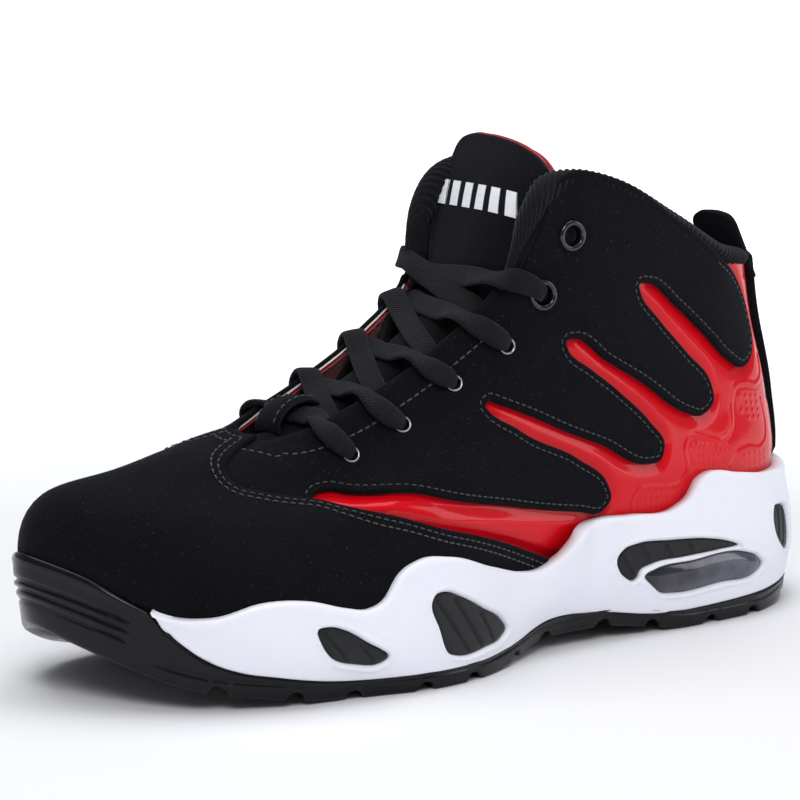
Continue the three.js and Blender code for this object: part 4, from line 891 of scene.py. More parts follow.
def quarter(label, sign):
    outer, labels = loop_of([[(sign * s, v) for s, v in stretch] for stretch in QUARTER_EDGE], last)
    holes = [disc(sign * s, v, RINGED_HOLE if k >= FIRST_RINGED else SMALL_HOLE, last)
             for k, (s, v) in enumerate(EYELETS)]
    make(f"quarter_shell_{label}", *panel(outer, holes, last, -1.9, rolled(-0.75, 0.1)), NUBUCK,
         replaces=[f"quarter_{label}"], slot="nubuck")
    fingers = stitch_path(outer, labels, [FINGER_EDGE], last, 2.4, 0.02)
    throat = stitch_path(outer, labels, [THROAT], last, 4.2, 0.22)
    make(f"quarter_stitching_{label}", *stitch_rows(fingers, 2.7, 1.9, 0.24), THREAD)
    make(f"throat_stitching_{label}", *stitch_rows(throat, 3.0, 2.2, 0.27), PALE_THREAD)
    return outer, last(outer[:, 0], outer[:, 1])


def vamp():
    outer_edge = [[2 - s, v] for s, v in VAMP_EDGE]
    stretches = [[[0.46, 0.02], [0.8, 0.02], [1.2, 0.02], [1.54, 0.02]], [[1.54, 0.02], [1.54, 0.085]],
                 outer_edge, [[1.028, 1], [1, 1], [0.972, 1]], VAMP_EDGE[::-1], [[0.46, 0.085], [0.46, 0.02]]]
    outer, labels = loop_of(stretches, last)
    make("vamp_shell", *panel(outer, [], last, 0.5, rolled(1.2, 2.15, 2.2, 0.25), 3.2), NUBUCK, replaces=["vamp"],
         slot="nubuck")
    for name, gap, height, colour, radius in (("vamp_stitching", 2.1, 2.1, THREAD, 0.25),
                                              ("vamp_second_row", 4.2, 2.28, PALE_THREAD, 0.26)):
        make(name, *stitch_rows(stitch_path(outer, labels, [2, 3, 4], last, gap, height), 2.8, 2, radius), colour)
    return last(outer[:, 0], outer[:, 1])


# Raised contour lines and rows of dots pressed into the red panel, as [s, v].
CONTOURS = [
    [[0.36, 0.17], [0.363, 0.215], [0.352, 0.24], [0.33, 0.239], [0.308, 0.231], [0.286, 0.236], [0.274, 0.27],
     [0.276, 0.332], [0.268, 0.362], [0.242, 0.351], [0.224, 0.338], [0.204, 0.35], [0.194, 0.38], [0.19, 0.44]],
    [[0.205, 0.26], [0.19, 0.29], [0.165, 0.3], [0.14, 0.29], [0.12, 0.31], [0.112, 0.36], [0.115, 0.44]],
    [[0.19, 0.44], [0.178, 0.49], [0.15, 0.5], [0.125, 0.49], [0.1, 0.52], [0.09, 0.58]],
    [[0.09, 0.26], [0.075, 0.3], [0.07, 0.36], [0.08, 0.42]],
]
DOT_FIELDS = [([0.348, 0.218], [0.288, 0.2], [0, -0.044]), ([0.262, 0.33], [0.208, 0.322], [0, -0.066]),
              ([0.175, 0.28], [0.125, 0.275], [0, -0.044]), ([0.17, 0.46], [0.13, 0.45], [0, -0.066])]


def red_panel(label, sign, quarter_loop, quarter_edge, vamp_edge):
    t = np.concatenate([np.linspace(0.004, 0.42, 290), np.linspace(0.424, 0.84, 130)])
    share = np.linspace(0, 1, 170)
    s = t[:, None] + 0 * share
    low = value([[0, 0.06], [0.46, 0.06], [0.5, 0.06], [0.6, 0.13], [0.7, 0.24], [0.78, 0.4], [0.84, 0.52]], s)
    high = np.minimum(value([[0, 0.965], [0.2, 0.965], [0.3, 0.93], [0.36, 0.9], [0.5, 0.82], [0.6, 0.76],
                             [0.84, 0.72]], s), 0.965)
    v = low + (high - low) * share
    q = np.column_stack([(sign * s).ravel(), v.ravel()])
    ground = last(q[:, 0], q[:, 1])
    covered = inside(quarter_loop, q)
    far = nearest(ground, quarter_edge)
    near_vamp = nearest(ground, vamp_edge[::2])
    puff = np.where(covered, 0, step(0, 5.5, far)) * step(0, 4, near_vamp)
    height = -2.75 + 1.15 * puff
    lines = np.vstack([last(sign * d[:, 0], d[:, 1]) for d in (dense(c, last, 0.5) for c in CONTOURS)])
    ridge = nearest(ground, lines)
    height = height + 0.3 * bump(ridge, 0, 0.5) - 0.08 * bump(ridge, 1.4, 0.7)
    dots = []
    for a, b, rise in DOT_FIELDS:
        count = 4 if abs(rise[1]) > 0.05 else 3
        for row in range(count):
            shift = np.array(rise) * row / (count - 1)
            a1, b1 = np.array(a) + shift, np.array(b) + shift
            line = dense([a1, (a1 + b1) / 2, b1], last, 2.6 if a[0] > 0.2 else 3.8)[row % 2:]
            dots.append(last(sign * line[:, 0], line[:, 1]))
    height = height + 0.26 * bump(nearest(ground, np.vstack(dots)), 0, 0.55)
    face = last(q[:, 0], q[:, 1], height).reshape(*s.shape, 3)
    back = last(q[:, 0], q[:, 1], np.full(len(q), -3.8)).reshape(*s.shape, 3)
    make(f"red_skin_{label}", *skin(sign, back, face), PATENT, replaces=[f"red_panel_{label}"], slot="patent")


def upper():
    vamp_edge = vamp()
    for label, sign in SIDES:
        loop, edge = quarter(label, sign)
        red_panel(label, sign, loop, edge, vamp_edge)


def linings():
    """Cloth that lines the shoe, the soft padding behind the collar, and the foam between the layers."""
    t = np.linspace(-1, 1, 260)
    top = np.where(side(t) < 0.575, 0.965, 0.985)
    v = 0.03 + (top - 0.03)[:, None] * np.linspace(0, 1, 46)
    tt = t[:, None] + 0 * v
    depth = lining_depth(tt, v)
    face = last(tt, v, -depth)
    back = last(tt, v, -depth - 0.9)
    make("inner_lining", *slab(back, face), LINING_CLOTH,
         replaces=["quarter_lining_outer", "quarter_lining_inner", "vamp_lining"], slot="lining")

    t = np.linspace(-0.66, 0.66, 190)
    v = np.linspace(0.4, 0.985, 46)
    tt, vv = np.meshgrid(t, v, indexing="ij")
    quilt = np.sqrt(np.clip(np.sin(np.pi * (vv - 0.4) / 0.585), 0, 1)) * (0.12 + 0.88 * step(0.52, 0.36, np.abs(tt)))
    seam = 1 - 0.45 * bump(np.abs(tt), 0.2, 0.012) - 0.35 * bump(vv, 0.68, 0.012)
    face = last(tt, vv, -lining_depth(tt, vv) - 1.1 - 4.2 * quilt * seam)
    back = last(tt, vv, -lining_depth(tt, vv) - 0.2)
    pad = make("collar_padding", *slab(face, back), COLLAR_CLOTH, replaces=["collar_pad"], slot="lining")

    for label, sign in SIDES:
        s = np.linspace(0.32, 0.984, 130)
        tops = np.where(s > 0.615, 0.995, np.where(s > 0.42, 0.86, 0.95))
        v = 0.07 + (tops - 0.07)[:, None] * np.linspace(0, 1, 40)
        tt = (sign * s)[:, None] + 0 * v
        outer = -4.1 + 2.1 * step(0.74, 0.82, v)
        holes = np.array([last(sign * a, b) for a, b in EYELETS])
        face = last(tt, v)
        near = nearest(face.reshape(-1, 3), holes).reshape(tt.shape)
        outer = np.where(near < 6, np.minimum(outer, -lining_depth(tt, v) + 0.4), outer)
        deep = np.minimum(-lining_depth(tt, v) + 0.15, outer - 0.25)
        face, back = last(tt, v, outer), last(tt, v, deep)
        foam = make(f"soft_foam_{label}", *skin(sign, back, face), FOAM, replaces=[f"quarter_foam_{label}"],
                    slot="foam")
        s, v = np.meshgrid(np.linspace(0.41, 0.616, 70), np.linspace(0.83, 0.985, 14), indexing="ij")
        face, back = last(sign * s, v, -2.0), last(sign * s, v, -2.6)
        make(f"collar_facing_{label}", *skin(sign, back, face), BINDING)


def heel():
    half = 0.052
    left = [[-half * k, v] for k, v in ((1.35, 0.99), (1.25, 0.93), (1.05, 0.8), (0.9, 0.6), (0.8, 0.25))]
    foot = [[half * k, v] for k, v in ((-0.8, 0.25), (-0.5, 0.215), (0, 0.2), (0.5, 0.215), (0.8, 0.25))]
    right = [[-t, v] for t, v in left[::-1]]
    outer, labels = loop_of([left, foot, right, [right[-1], [0, 1.0], left[0]]], last)
    make("heel_strip_shell", *panel(outer, [], last, -2.4, rolled(0.9, 1.75, 2.3, 0.2), 2.5), NUBUCK,
         replaces=["heel_strip"], slot="nubuck")
    make("heel_strip_stitching", *stitch_rows(stitch_path(outer, labels, [0, 1, 2], last, 2.3, 1.5)), THREAD)

    lean, x, z = 0.4, 142.2, 118.5
    up = np.array([-math.sin(lean), 0, math.cos(lean)])
    out = np.array([math.cos(lean), 0, math.sin(lean)])

    def on_tab(a, b, off=0.0):
        a, b, off = np.broadcast_arrays(*(np.asarray(k, float) for k in (a, b, off)))
        return (np.array([x, 0, z]) + a[..., None] * [0, 1, 0] + b[..., None] * up
                + (off - 0.012 * a * a)[..., None] * out)

    corner = [(11.2 - 5 + 5 * math.cos(k), 21 - 5 + 5 * math.sin(k)) for k in np.linspace(0, math.pi / 2, 7)]
    stretches = [[(-13, -3), (0, -3), (13, -3)], [(13, -3), (12.3, 7), (11.2, 16)], corner,
                 [(6.2, 21), (0, 21.3), (-6.2, 21)], [(-a, b) for a, b in corner[::-1]],
                 [(-11.2, 16), (-12.3, 7), (-13, -3)]]
    outer, labels = loop_of(stretches, on_tab)
    make("pull_tab_shell", *panel(outer, [], on_tab, -1.4, rolled(0.5, 1.35, 2.2, 0.25), 2), NUBUCK, "pull_tab",
         ["heel_pull_tab"], "nubuck")
    make("pull_tab_stitching", *stitch_rows(stitch_path(outer, labels, [1, 2, 3, 4, 5], on_tab, 2.2, 1.28)), THREAD,
         "pull_tab")


def binding():
    """Rope-ribbed roll sewn over the collar's edge."""
    reach = 0.603
    t = np.linspace(-reach, reach, 1300)
    foot = last(t, 0.965)
    out = last_normal(t, np.full(len(t), 0.97))
    up = unit(last(t, 1.0) - foot)
    run = lengths(foot)
    depth = lining_depth(t, 0.965) + 1
    front = step(0.42, 0.5, np.abs(t))
    outer_reach, inner_reach = -0.15 + 0.5 * front, -depth - 1.4 - 1.8 * front
    middle, half = (outer_reach + inner_reach) / 2, (outer_reach - inner_reach) / 2
    fade = step(0, 10, run) * step(run[-1], run[-1] - 10, run)
    angles = np.linspace(-0.9, math.pi + 0.9, 44)
    rows = []
    for angle in angles:
        wave = 0.5 + 0.5 * np.sin(TURN * (run / 2.9 + angle * 1.15 * np.sign(t)))
        strand = 0.5 + 0.5 * np.sin(TURN * (run / 0.72 - angle * 2.0 * np.sign(t)))
        swell = 0.62 * wave**0.6 - 0.42 + 0.07 * strand
        size = 0.55 + 0.45 * fade
        radial_out = middle + (half + swell) * math.cos(angle) * size
        radial_up = 1.9 - 1.9 * front + (3.9 + 2.2 * front + swell) * math.sin(angle) * size
        rows.append(foot + out * radial_out[:, None] + up * radial_up[:, None])
    grid = np.stack(rows, 1)
    make("collar_roll", grid.reshape(-1, 3), tube(len(t), len(angles)), BINDING, replaces=["collar_binding"],
         slot="knit")


# ---------------------------------------------------------------- tongue


def tongue():
    place = lambda a, b, off=0.0: on_tongue(-np.asarray(a, float), b, off)
    lateral = [[0, 7], [8, 10], [20, 12.5], [40, 14.3], [70, 15], [90, 16.5], [105, 18.5], [125, 22.5], [134, 24]]
    medial = [[0, 7], [8, 10], [20, 12.5], [40, 14.3], [70, 15.5], [90, 18.5], [105, 21.5], [125, 25], [138, 26]]
    arch = [[24, 134], [23.5, 138], [20, 140.8], [10, 144.2], [0, 145.9], [-12, 146.6], [-21, 146], [-24.7, 144],
            [-26, 141], [-26, 138]]

    def outline(grow, top=0.0, narrow=0.0):
        shrink = lambda w: w + (grow if w > 0 else -grow)
        right = [(w + grow - narrow * step(95, 130, l), l) for l, w in lateral]
        left = [(-(w + grow), l) for l, w in medial[::-1]]
        crown = [(shrink(w) - (narrow if w > 15 else 0), l + top * min(1, (146.5 - l) / 2 + 0.4 if l > 144 else 1))
                 for w, l in arch]
        crown[0], crown[-1] = right[-1], left[0]
        return [right, crown, left, [(-7 - grow, 0), (0, -1), (7 + grow, 0)]]

    swollen = lambda gap, q: -3.2 + 1.3 * rounded(gap, 3)
    edged = lambda gap, q: -7.9 + 0.7 * rounded(gap, 2)
    outer, _ = loop_of(outline(0), place)
    make("tongue_shell", *panel(outer, [], place, -1.7, rolled(-0.9, 0.15, 0, 0.6), 3), NUBUCK_TONGUE, "tongue",
         ["tongue_face"], "nubuck")
    outer, _ = loop_of(outline(-0.6, -0.4, 1.5), place)
    soft = make("tongue_padding", *panel(outer, [], place, -7.6, swollen, 4), COLLAR_CLOTH, "tongue",
                ["tongue_foam"], "foam")
    outer, _ = loop_of(outline(-0.8, 1.4, 2.5), place)
    make("tongue_back", *panel(outer, [], place, -8.9, edged, 4), LINING_CLOTH, "tongue", ["tongue_lining"], "lining")

    hem = dense(arch[2:-2], place, 1.2)
    from_end = np.arange(len(hem))
    taper = rounded(np.minimum(from_end, from_end[::-1]), 4)
    around = 12
    rows = [place(hem[:, 0], hem[:, 1] + (0.1 + 1.0 * math.cos(k)) * taper, -2.6 + 1.3 * math.sin(k) * taper)
            for k in np.linspace(0, TURN, around, endpoint=False)]
    make("tongue_red_edge", np.stack(rows, 1).reshape(-1, 3), tube(len(hem), around), LINING_CLOTH, "tongue")

    width, height, pitch, foot = 4.4, 8.6, 7.2, 119.5
    ww, ll = np.meshgrid(np.linspace(0, width, 14), np.linspace(0, height, 20), indexing="ij")
    edge = np.minimum(np.minimum(ww, width - ww), np.minimum(ll, height - ll))
    bars = []
    for k in range(6):
        across = 24 - pitch * k - ww + 0.28 * ll - 2
        top = on_tongue(across, ll + foot, 0.88 + 0.2 * rounded(edge, 0.4))
        bars.append(slab(on_tongue(across, ll + foot, 0.3), top))
    make("tongue_mark", *join(bars), MARK, "tongue")


def keeper():
    at, half, high, wide, shift = (KEEPER[k] for k in ("at", "half_length", "height", "half_width", "shift"))
    angles = np.linspace(0, math.pi, 22)
    w = np.linspace(-wide, wide, 30)
    edge = rounded(wide - np.abs(w), 1.2)
    rows = []
    for lift in (1, -1):
        grow = 0.25 + 0.6 * edge
        for k in (angles if lift > 0 else angles[::-1]):
            reach = lift * grow - 0.85
            rows.append(on_tongue(w + shift, at - (half + reach) * math.cos(k), 0.3 + (high + reach) * math.sin(k)))
    grid = np.stack(rows, 1)
    make("lace_loop", grid.reshape(-1, 3), tube(*grid.shape[:2]), NUBUCK, "shoe_body", ["lace_keeper"], "nubuck")
    paths = []
    for spot in (shift - wide + 2, shift + wide - 2):
        line = on_tongue(spot, at - (half + 0.2) * np.cos(angles[3:-3]), 0.3 + (high + 0.25) * np.sin(angles[3:-3]))
        centre = on_tongue(np.full(len(line), spot), np.full(len(line), at), np.zeros(len(line)))
        paths.append((line, unit(line - centre)))
    make("lace_loop_stitching", *stitch_rows(paths, 2.8, 2.0, 0.28), THREAD, "shoe_body")


# ---------------------------------------------------------------- eyelets and lace


# Closed [radius, height] profiles.
RINGED_EYELET = [(3.3, -2.6), (3.6, -2.6), (3.9, -1.5), (3.95, 0.3), (5.1, 0.25), (5.35, 0.5), (5.25, 0.85),
                 (4.8, 1.2), (4.3, 1.3), (3.75, 1.1), (3.4, 0.7), (3.3, 0)]
SMALL_EYELET = [(2.2, -2.6), (2.4, -2.6), (2.6, -1.7), (2.6, -0.1), (2.85, -0.1), (2.95, 0.02), (2.85, 0.2),
                (2.6, 0.28), (2.35, 0.18), (2.2, -0.1)]
# A black disc that closes each eyelet's barrel: painted shade, so the hole reads dark inside.
EYELET_SHADE_DISC = [(0.05, -2.5), (3.9, -2.5), (3.9, -2.0), (0.05, -2.0)]


def eyelets():
    for label, sign in SIDES:
        # backing gathers the black discs of painted shade deep in the eyelets.
        backing = []
        for k, (s, v) in enumerate(EYELETS):
            profile, surface = (RINGED_EYELET, ENAMEL) if k >= FIRST_RINGED else (SMALL_EYELET, SILVER)
            backing.append(lathe(EYELET_SHADE_DISC, sign * s, v, 20))
            make(f"ring_{label}_{k + 1}", *lathe(profile, sign * s, v), surface,
                 replaces=[f"eyelet_{label}_{k + 1}"], slot="metal")
        make(f"eyelet_shade_disc_{label}", *join(backing), BINDING)


def above_tongue(point, lift):
    """Moves a point straight out until it lies at least `lift` above the tongue; also gives that direction."""
    w, l = np.meshgrid(np.arange(-24.0, 25, 1.5), np.arange(12.0, 130, 1.5))
    skin = on_tongue(w.ravel(), l.ravel(), 0)
    k = np.argmin(np.linalg.norm(skin - point, axis=1))
    up = unit(tongue_frame(l.ravel()[k])[2])
    return point + up * max(0.0, lift - float((point - skin[k]) @ up)), up


def lace_half(first):
    """Stops of one lace half, as [point, flat-side direction, width, thickness]."""
    stops = []

    def add(point, face, width=LACE_WIDTH, thick=LACE_THICKNESS):
        stops.append((np.asarray(point, float), np.asarray(face, float), width, thick))

    sign, flip, outside = first, 1, 2.1
    inner = lambda t, v: -float(lining_depth(t, v)) - 1 - 1.9

    def over_edge(t):
        up = unit(last(t, 1.0) - last(t, 0.95))
        out = last_normal(t, 1.0)
        add(last(t, 1.0, 0.2) + up * 1.7, (out + up) * flip)

    def dive(k, origin):
        s, v = EYELETS[k]
        t = sign * s
        n = last_normal(t, v)
        down = unit(last(t, v - 0.03) - last(t, v))
        start = np.array([origin, 1.0])
        end = np.array([t, v])
        way = unit(last(*end) - last(*(start + (end - start) * 0.6)))
        for share, lift, width, thick in ((0.42, 0.75, LACE_WIDTH, 2.3), (0.78, 0.45, 7.2, 2.4)):
            a, b = start + (end - start) * share
            add(last(a, b, outside + lift), last_normal(a, b) * flip, width, thick)
        add(last(t, v, 0.9) - way * 0.9, (n * 0.55 + way) * flip, 5.4, 2.7)
        add(last(t, v, -1.4), way * flip, 4.6, 2.8)
        add(last(t, v, inner(t, v) + 1.4), way * flip, 4.6, 2.8)
        add(last(t, v + 0.02, inner(t, v) - 0.3), (down - n) * flip, 5.4, 2.2)
        return -flip

    add(on_tongue(0, KEEPER["at"], 3.3), [-0.5, 0, 0.85])
    add(on_tongue(sign * 12, KEEPER["at"] + 2, 5.2), tongue_frame(KEEPER["at"])[2] * flip)
    over_edge(sign * LACE_OVER[sign][0])
    flip = dive(0, sign * LACE_OVER[sign][0])
    for k in range(4):
        t, u = sign * LACE_UNDER[sign][k], -sign * LACE_OVER[-sign][k + 1]
        add(last(t, 0.9, inner(t, 0.9)), last_normal(t, 0.9) * flip)
        start = last(t, 0.985, inner(t, 1.0) + 0.2)
        add(start, last_normal(t, 1.0) * flip)
        end = last(u, 1.0, 0.2) + unit(last(u, 1.0) - last(u, 0.95)) * 1.7
        for share, lift in ((0.3, 1.7), (0.65, 2.2 if sign > 0 else 3.4)):
            point, up = above_tongue(start + (end - start) * share, lift)
            add(point, up * flip)
        sign = -sign
        over_edge(u)
        flip = dive(k + 1, u)
    for s, v in TAIL:
        t = sign * s
        add(last(t, v, inner(t, v) - 0.1), last_normal(t, v) * flip, 6.0)
    return stops


def lace():
    outer, inner = lace_half(-1), lace_half(1)[1:]
    stops = outer[::-1] + inner
    data = np.array([[*p, *unit(f), w, h] for p, f, w, h in stops])
    run = lengths(data[:, :3])
    rows = np.column_stack([run, data])
    at = np.arange(0, run[-1], 0.9)
    fine = through(rows, at)
    centre, face, width, thick = fine[:, :3], unit(fine[:, 3:6]), fine[:, 6], fine[:, 7]
    kernel = np.exp(-0.5 * (np.arange(-7, 8) * 0.9 / 2.4) ** 2)
    padded = np.pad(np.column_stack([centre, face]), ((7, 7), (0, 0)), mode="edge")
    even = np.stack([np.convolve(column, kernel / kernel.sum(), mode="valid") for column in padded.T], 1)
    free = step(6.6, 7.6, width)[:, None]
    centre, face = centre + (even[:, :3] - centre) * free, unit(face + (even[:, 3:] - face) * free)
    along = unit(np.gradient(centre, axis=0))
    face = unit(face - along * (face * along).sum(1)[:, None])
    wide = np.cross(along, face)
    count = 20
    round_ = [(math.cos(TURN * k / count), math.sin(TURN * k / count)) for k in range(count)]
    section = np.array([(math.copysign(abs(c) ** 0.7, c), math.copysign(abs(s) ** 0.8, s)) for c, s in round_])
    dish = 1 - 0.12 * (1 - section[:, 0] ** 2)
    grid = (centre[:, None] + wide[:, None] * (section[None, :, :1] * width[:, None, None] / 2)
            + face[:, None] * ((section[:, 1] * dish)[None, :, None] * thick[:, None, None] / 2))
    uv = np.stack(np.broadcast_arrays(at[:, None], section[None, :, 0] * 3.9 + 20), -1)
    make("shoe_lace", grid.reshape(-1, 3), tube(len(at), count), LACE_CLOTH, replaces=["lace"], slot="cord",
         uv=uv.reshape(-1, 2))
    for label, end, before_end in (("outer", 0, 1), ("inner", -1, -2)):
        start = data[end, :3]
        line = unit(start - data[before_end, :3])
        first = unit(np.cross(line, [0.1, 1, 0.2]))
        second = np.cross(line, first)
        profile = [(0.2, 0.6), (1.3, 0.6), (1.7, 1.2), (1.7, 12), (1.6, 19.6), (1.2, 20.4), (0.1, 20.6)]
        angle = np.arange(16) * math.pi / 8
        grid = np.stack([start + line * h + r * (np.cos(angle)[:, None] * first + np.sin(angle)[:, None] * second)
                         for r, h in profile])
        make(f"lace_tip_{label}", grid.reshape(-1, 3), tube(len(profile), len(angle)), TIP,
             replaces=[f"aglet_{label}"], slot="tip")


# ---------------------------------------------------------------- sole


def window_loop(sign, pairs, margin=0.0):
    """Closed loop of a window in the sole's side, or that many millimetres inside it."""
    loop = dense([(sign * s, z) for s, z in pairs], wall, 1.0, closed=True)
    return loop + inwards(loop, wall) * margin if margin else loop


def midsole():
    tip = np.linspace(0.9, 0.94, 400)
    limit = tip[np.argmax(value(RUBBER_TOP, tip) > rim_outer(tip)[:, 2] - 0.4)]
    t = np.concatenate([np.linspace(-limit, -0.9, 60), np.linspace(-0.895, 0.895, 400), np.linspace(0.9, limit, 60)])
    top = rim_outer(t)[:, 2] - 0.05
    low = np.minimum(value(RUBBER_TOP, side(t)), top - 0.3)
    outer = np.vstack([np.column_stack([t, low]), np.column_stack([t[::-1], top[::-1]])])
    holes = [window_loop(sign, pairs) for _, sign in SIDES for pairs in [*WINDOWS.values(), AIR_WINDOW]]
    spots = np.vstack([wall(h[:, 0], h[:, 1]) for h in holes])
    rim_line = wall(t, top - 0.3)

    def height(gap, q):
        ground = wall(q[:, 0], q[:, 1])
        window = nearest(ground, spots)
        rim = nearest(ground, rim_line)
        edge = -0.85 + 0.85 * quarter_round(gap, 1.3)
        lip = 0.6 * bump(window, 1.0, 0.55) - 0.12 * bump(window, 2.3, 0.6)
        bead = 0.22 * bump(rim, 1.8, 1.2)
        return edge + lip + bead

    insets = (0.25, 0.6, 1.0, 1.4, 1.9, 2.5, 3.4, 4.4, 5.4)
    make("midsole_shell", *panel(outer, holes, wall, -4.6, height, 2.6, insets), EVA, replaces=["midsole"],
         slot="foam_sole")


# Grooves of each insert: how many, their pitch and their slant.
GROOVES = {"forefoot": (2, 6.6, -0.7), "midfoot": (3, 6.2, -0.6), "heel": (4, 8.5, -0.55), "rear": (2, 5.0, 0.2)}
CLEARANCE = 0.15


def inserts():
    """Grooved inserts in the windows, and the clear cushion in front of its chambers at the heel."""
    for label, sign in SIDES:
        for name, pairs in WINDOWS.items():
            mid = np.array(pairs).mean(0)

            def height(gap, q, name=name, mid=mid):
                count, pitch, slant = GROOVES[name]
                spot = wall(q[:, 0], q[:, 1])
                centre = wall(sign * mid[0], mid[1])
                ahead, behind = (wall(sign * (mid[0] + e), mid[1]) for e in (0.01, -0.01))
                along = (spot - centre) @ unit(ahead - behind)
                across = along * math.cos(slant) + (q[:, 1] - mid[1]) * math.sin(slant)
                ridge = sum(bump(across, (k - (count - 1) / 2) * pitch, 0.42) for k in range(count))
                base = -1.6 + 0.75 * rounded(gap, 1.1)
                inner = step(1.0, 2.0, gap)
                return base + inner * ridge * (0.9 if name == "heel" else -1.1)

            cut = panel(window_loop(sign, pairs, CLEARANCE), [], wall, -3.2, height, 0.6, (0.25, 0.6, 1.1, 1.7))
            make(f"{name}_grip_{label}", *cut, INSERT, replaces=[f"{name}_insert_{label}"], slot="insert")
        loop = window_loop(sign, AIR_WINDOW, CLEARANCE)
        clear = lambda gap, q: -1.7 + 1.5 * rounded(gap, 3.4)
        cut = panel(loop, [], wall, -2.1, clear, 1.4, (0.25, 0.6, 1.1, 1.8, 2.6))
        make(f"air_window_{label}", *cut, AIR, replaces=["heel_air_unit"], slot="air")

        def chambers(gap, q):
            along = wall(q[:, 0], q[:, 1])[:, 0] - 90
            return -4.4 + 0.7 * np.sin(along * TURN / 9) + 0.9 * rounded(gap, 2.4)

        make(f"air_chambers_{label}", *panel(loop, [], wall, -6.2, chambers, 1.6, (0.4, 1.2, 2.2)), AIR_BACK)


LUGS = 30
BUMPER_GROOVES, BUMPER_RIBS = (9.3, 12.6, 15.9), (10.95, 14.25)
SUNK_FLOOR = 4.4


def outsole():
    """Rubber cup: bottom with lugs and notches, a low side band, and the ridged toe bumper."""
    n = 720
    t = -1 + 2 * np.arange(n) / n
    s = side(t)
    bumper = step(0.925, 0.95, s)
    foot = ground_point(t)
    top = np.minimum(np.maximum(value(RUBBER_TOP, s), foot[:, 2] + 6.5), rim_outer(t)[:, 2])
    run = lengths(foot)
    count = run / run[-1] * LUGS
    lug = np.abs(count % 1 - 0.5)
    wide = np.where(np.floor(count) % 2 < 1, 0.2, 0.1)
    arch = np.where(wide > 0.15, 3.0, 2.2) * np.clip(1 - ((0.5 - lug) / wide) ** 4, 0, 1) ** 0.6 * step(0.91, 0.89, s)
    rings = []
    pulled = lambda points, amount: points - outwards(points) * np.reshape(amount, (-1, 1))
    ground = foot.copy()
    ground[:, 2] = np.maximum(foot[:, 2], 0.05)
    lifted = ground.copy()
    lifted[:, 2] += arch
    rings.append(evened(pulled(ground, 18) + [0, 0, 0.9]))
    for inset, share in ((16, 0.4), (9, 0.55), (5, 0.8), (1.2, 1.0)):
        ring_ = pulled(ground, inset)
        ring_[:, 2] = ground[:, 2] + arch * share + 0.7 * step(2, 9, inset)
        rings.append(ring_)
    for share in np.linspace(0, 1, 26):
        low = lifted[:, 2]
        z = low + (top - low) * share
        base = wall(t, np.maximum(z, foot[:, 2] + 0.02))
        over = z - foot[:, 2]
        lines = sum(bump(over, level, 0.5) for level in BUMPER_GROOVES)
        between = sum(bump(over, level, 0.9) for level in BUMPER_RIBS)
        ridge = (0.35 * between - 1.15 * lines) * step(0.944, 0.956, s) + 0.5 * bumper * bump(share, 0.93, 0.06)
        groove = -0.5 * bump(z, foot[:, 2] + 5.2, 0.7) * (1 - bumper)
        edge = -0.7 * (1 - np.sqrt(np.clip(1 - max(0, (share - 0.86) / 0.14) ** 2, 0, 1)))
        corner = -0.7 * (1 - np.sqrt(np.clip(1 - max(0, (0.1 - share) / 0.1) ** 2, 0, 1)))
        rounding = -1.9 * bumper * max(0, (share - 0.55) / 0.45) ** 2
        ring_ = pulled(base, -(0.12 + ridge + groove + edge + corner + rounding))
        ring_[:, 2] = z
        rings.append(ring_)
    lip = pulled(wall(t, top), 3.2)
    at_last = last(t, value(RIM, s), 2.5)
    lip = lip + (at_last - lip) * bumper[:, None]
    rings.append(lip)
    sunk = lip.copy()
    sunk[:, 2] = foot[:, 2] + SUNK_FLOOR
    sunk = sunk + (pulled(foot, 6) + [0, 0, SUNK_FLOOR] - sunk) * bumper[:, None]
    rings.append(sunk)
    rings.append(evened(pulled(foot, 18) + [0, 0, 4.5]))
    faces = quads(len(rings), n, close_columns=True).tolist()
    make("outsole_shell", np.stack(rings).reshape(-1, 3), faces, RUBBER, replaces=["outsole"], slot="rubber")


def sockliner():
    n = 240
    t = -1 + 2 * np.arange(n) / n
    edge = last(t, 0.0)
    out = outwards(edge)
    depth = (lining_depth(t, 0.0) + 1 + 1.2)[:, None]
    insets = ((0, 1.9), (2, 1.85), (0.4, 2.1), (0, 3), (-0.2, 5.4), (0.5, 6.6), (2, 7.0), (6, 6.8), (8, 6.5))
    rings = [edge - out * (depth + inset) + [0, 0, up] for inset, up in insets]
    rings[0], rings[-1] = evened(rings[0]), evened(rings[-1])
    faces = quads(len(rings), n, close_columns=True).tolist()
    make("insole_cushion", np.stack(rings).reshape(-1, 3), faces, SOCK, "insole", ["sockliner"], "lining")


# ---------------------------------------------------------------- stage


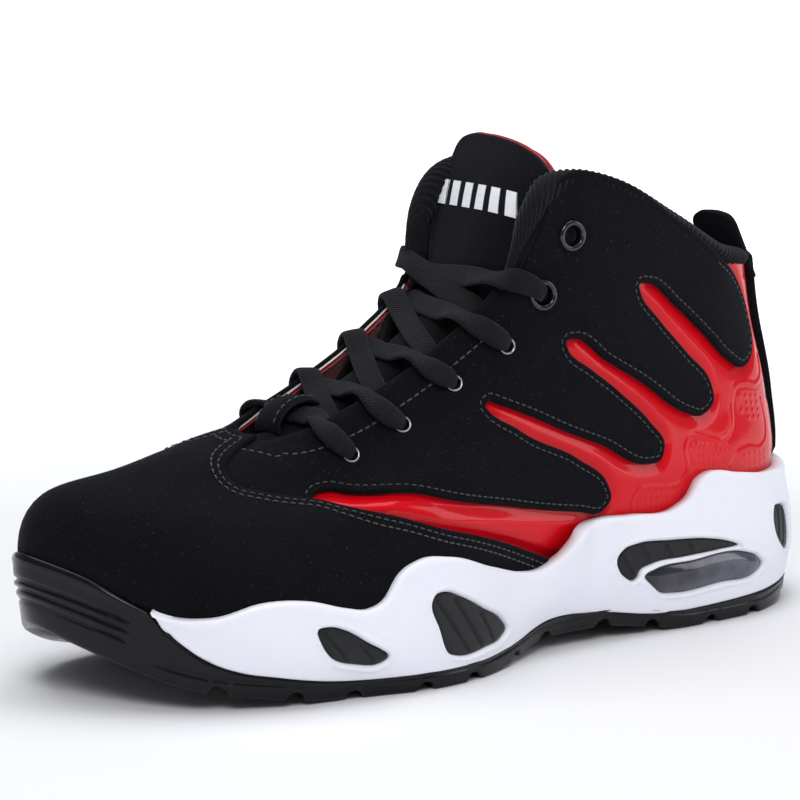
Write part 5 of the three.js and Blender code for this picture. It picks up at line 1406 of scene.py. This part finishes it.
def stage():
    mesh = bpy.data.meshes.new("floor")
    mesh.from_pydata([(-6, -6, 0), (6, -6, 0), (6, 6, 0), (-6, 6, 0)], [], [(0, 1, 2, 3)])
    floor = linked("floor", mesh)
    paper = Surface("pale floor", (0.88, 0.882, 0.9), 0.8)
    away = paper.tree.nodes.new("ShaderNodeVectorMath")
    away.operation = "LENGTH"
    paper.tree.links.new(paper.place(), away.inputs[0])
    paper.shader.inputs["Emission Color"].default_value = (1, 1, 1, 1)
    glow = paper.ramp(away.outputs["Value"], 0.25, 1.1, 0.0, 0.95)
    paper.tree.links.new(glow, paper.shader.inputs["Emission Strength"])
    floor.data.materials.append(paper.material)
    floor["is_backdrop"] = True

    world = bpy.data.worlds.new("studio")
    bpy.context.scene.world = world
    world.use_nodes = True
    tree = world.node_tree
    shown = tree.nodes["Background"]
    shown.inputs[0].default_value, shown.inputs[1].default_value = (1, 1, 1, 1), 1.05
    around = tree.nodes.new("ShaderNodeBackground")
    around.inputs[0].default_value, around.inputs[1].default_value = (0.93, 0.95, 1.0, 1), 0.26
    path = tree.nodes.new("ShaderNodeLightPath")
    mix = tree.nodes.new("ShaderNodeMixShader")
    tree.links.new(path.outputs["Is Camera Ray"], mix.inputs[0])
    tree.links.new(around.outputs[0], mix.inputs[1])
    tree.links.new(shown.outputs[0], mix.inputs[2])
    tree.links.new(mix.outputs[0], tree.nodes["World Output"].inputs[0])

    def soft_box(name, spot, target, size, power, colour=(1, 1, 1)):
        light = bpy.data.lights.new(name, "AREA")
        light.shape = "RECTANGLE"
        light.size, light.size_y = size
        light.energy = power
        light.color = colour
        obj = linked(name, light)
        obj.location = spot
        obj.rotation_euler = (Vector(target) - Vector(spot)).to_track_quat("-Z", "Y").to_euler()
        obj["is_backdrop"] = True

    soft_box("key", (-0.75, -1.0, 1.25), (0, 0, 0.06), (0.9, 0.7), 13)
    soft_box("fill", (1.2, -0.95, 0.55), (0.02, 0, 0.08), (0.5, 0.9), 4, (0.95, 0.97, 1))
    soft_box("top", (0.1, 0.25, 1.4), (0, 0, 0.05), (1.5, 1.2), 15, (0.97, 0.98, 1))

    bpy.context.scene.view_settings.view_transform = "Standard"
    camera = bpy.data.cameras.new("camera")
    camera.lens = 185.4
    camera.sensor_width = 36
    camera.shift_x, camera.shift_y = -0.03, -0.0175
    camera.clip_start = 0.01
    eye = linked("camera", camera)
    turn, lift, far = math.radians(-36), math.radians(10), 1.4
    target = Vector((-0.0003, 0.0039, 0.088))
    eye.location = target + far * Vector((math.sin(turn) * math.cos(lift), -math.cos(turn) * math.cos(lift),
                                          math.sin(lift)))
    eye.rotation_euler = (target - eye.location).to_track_quat("-Z", "Y").to_euler()
    bpy.context.scene.camera = eye


upper()
linings()
heel()
binding()
tongue()
keeper()
eyelets()
lace()
midsole()
inserts()
outsole()
sockliner()

for node, surface in (("shank", SHANK_PLASTIC), ("insole_board", BOARD), ("toe_puff", BOARD), ("heel_counter", BOARD)):
    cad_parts[node].data.materials.clear()
    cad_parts[node].data.materials.append(surface)
    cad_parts[node].data.shade_smooth()

stage()
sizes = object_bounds()
plain = lambda box: [list(map(float, corner)) for corner in box]
{"cad": plain(cad_box), "visual": plain(sizes)}
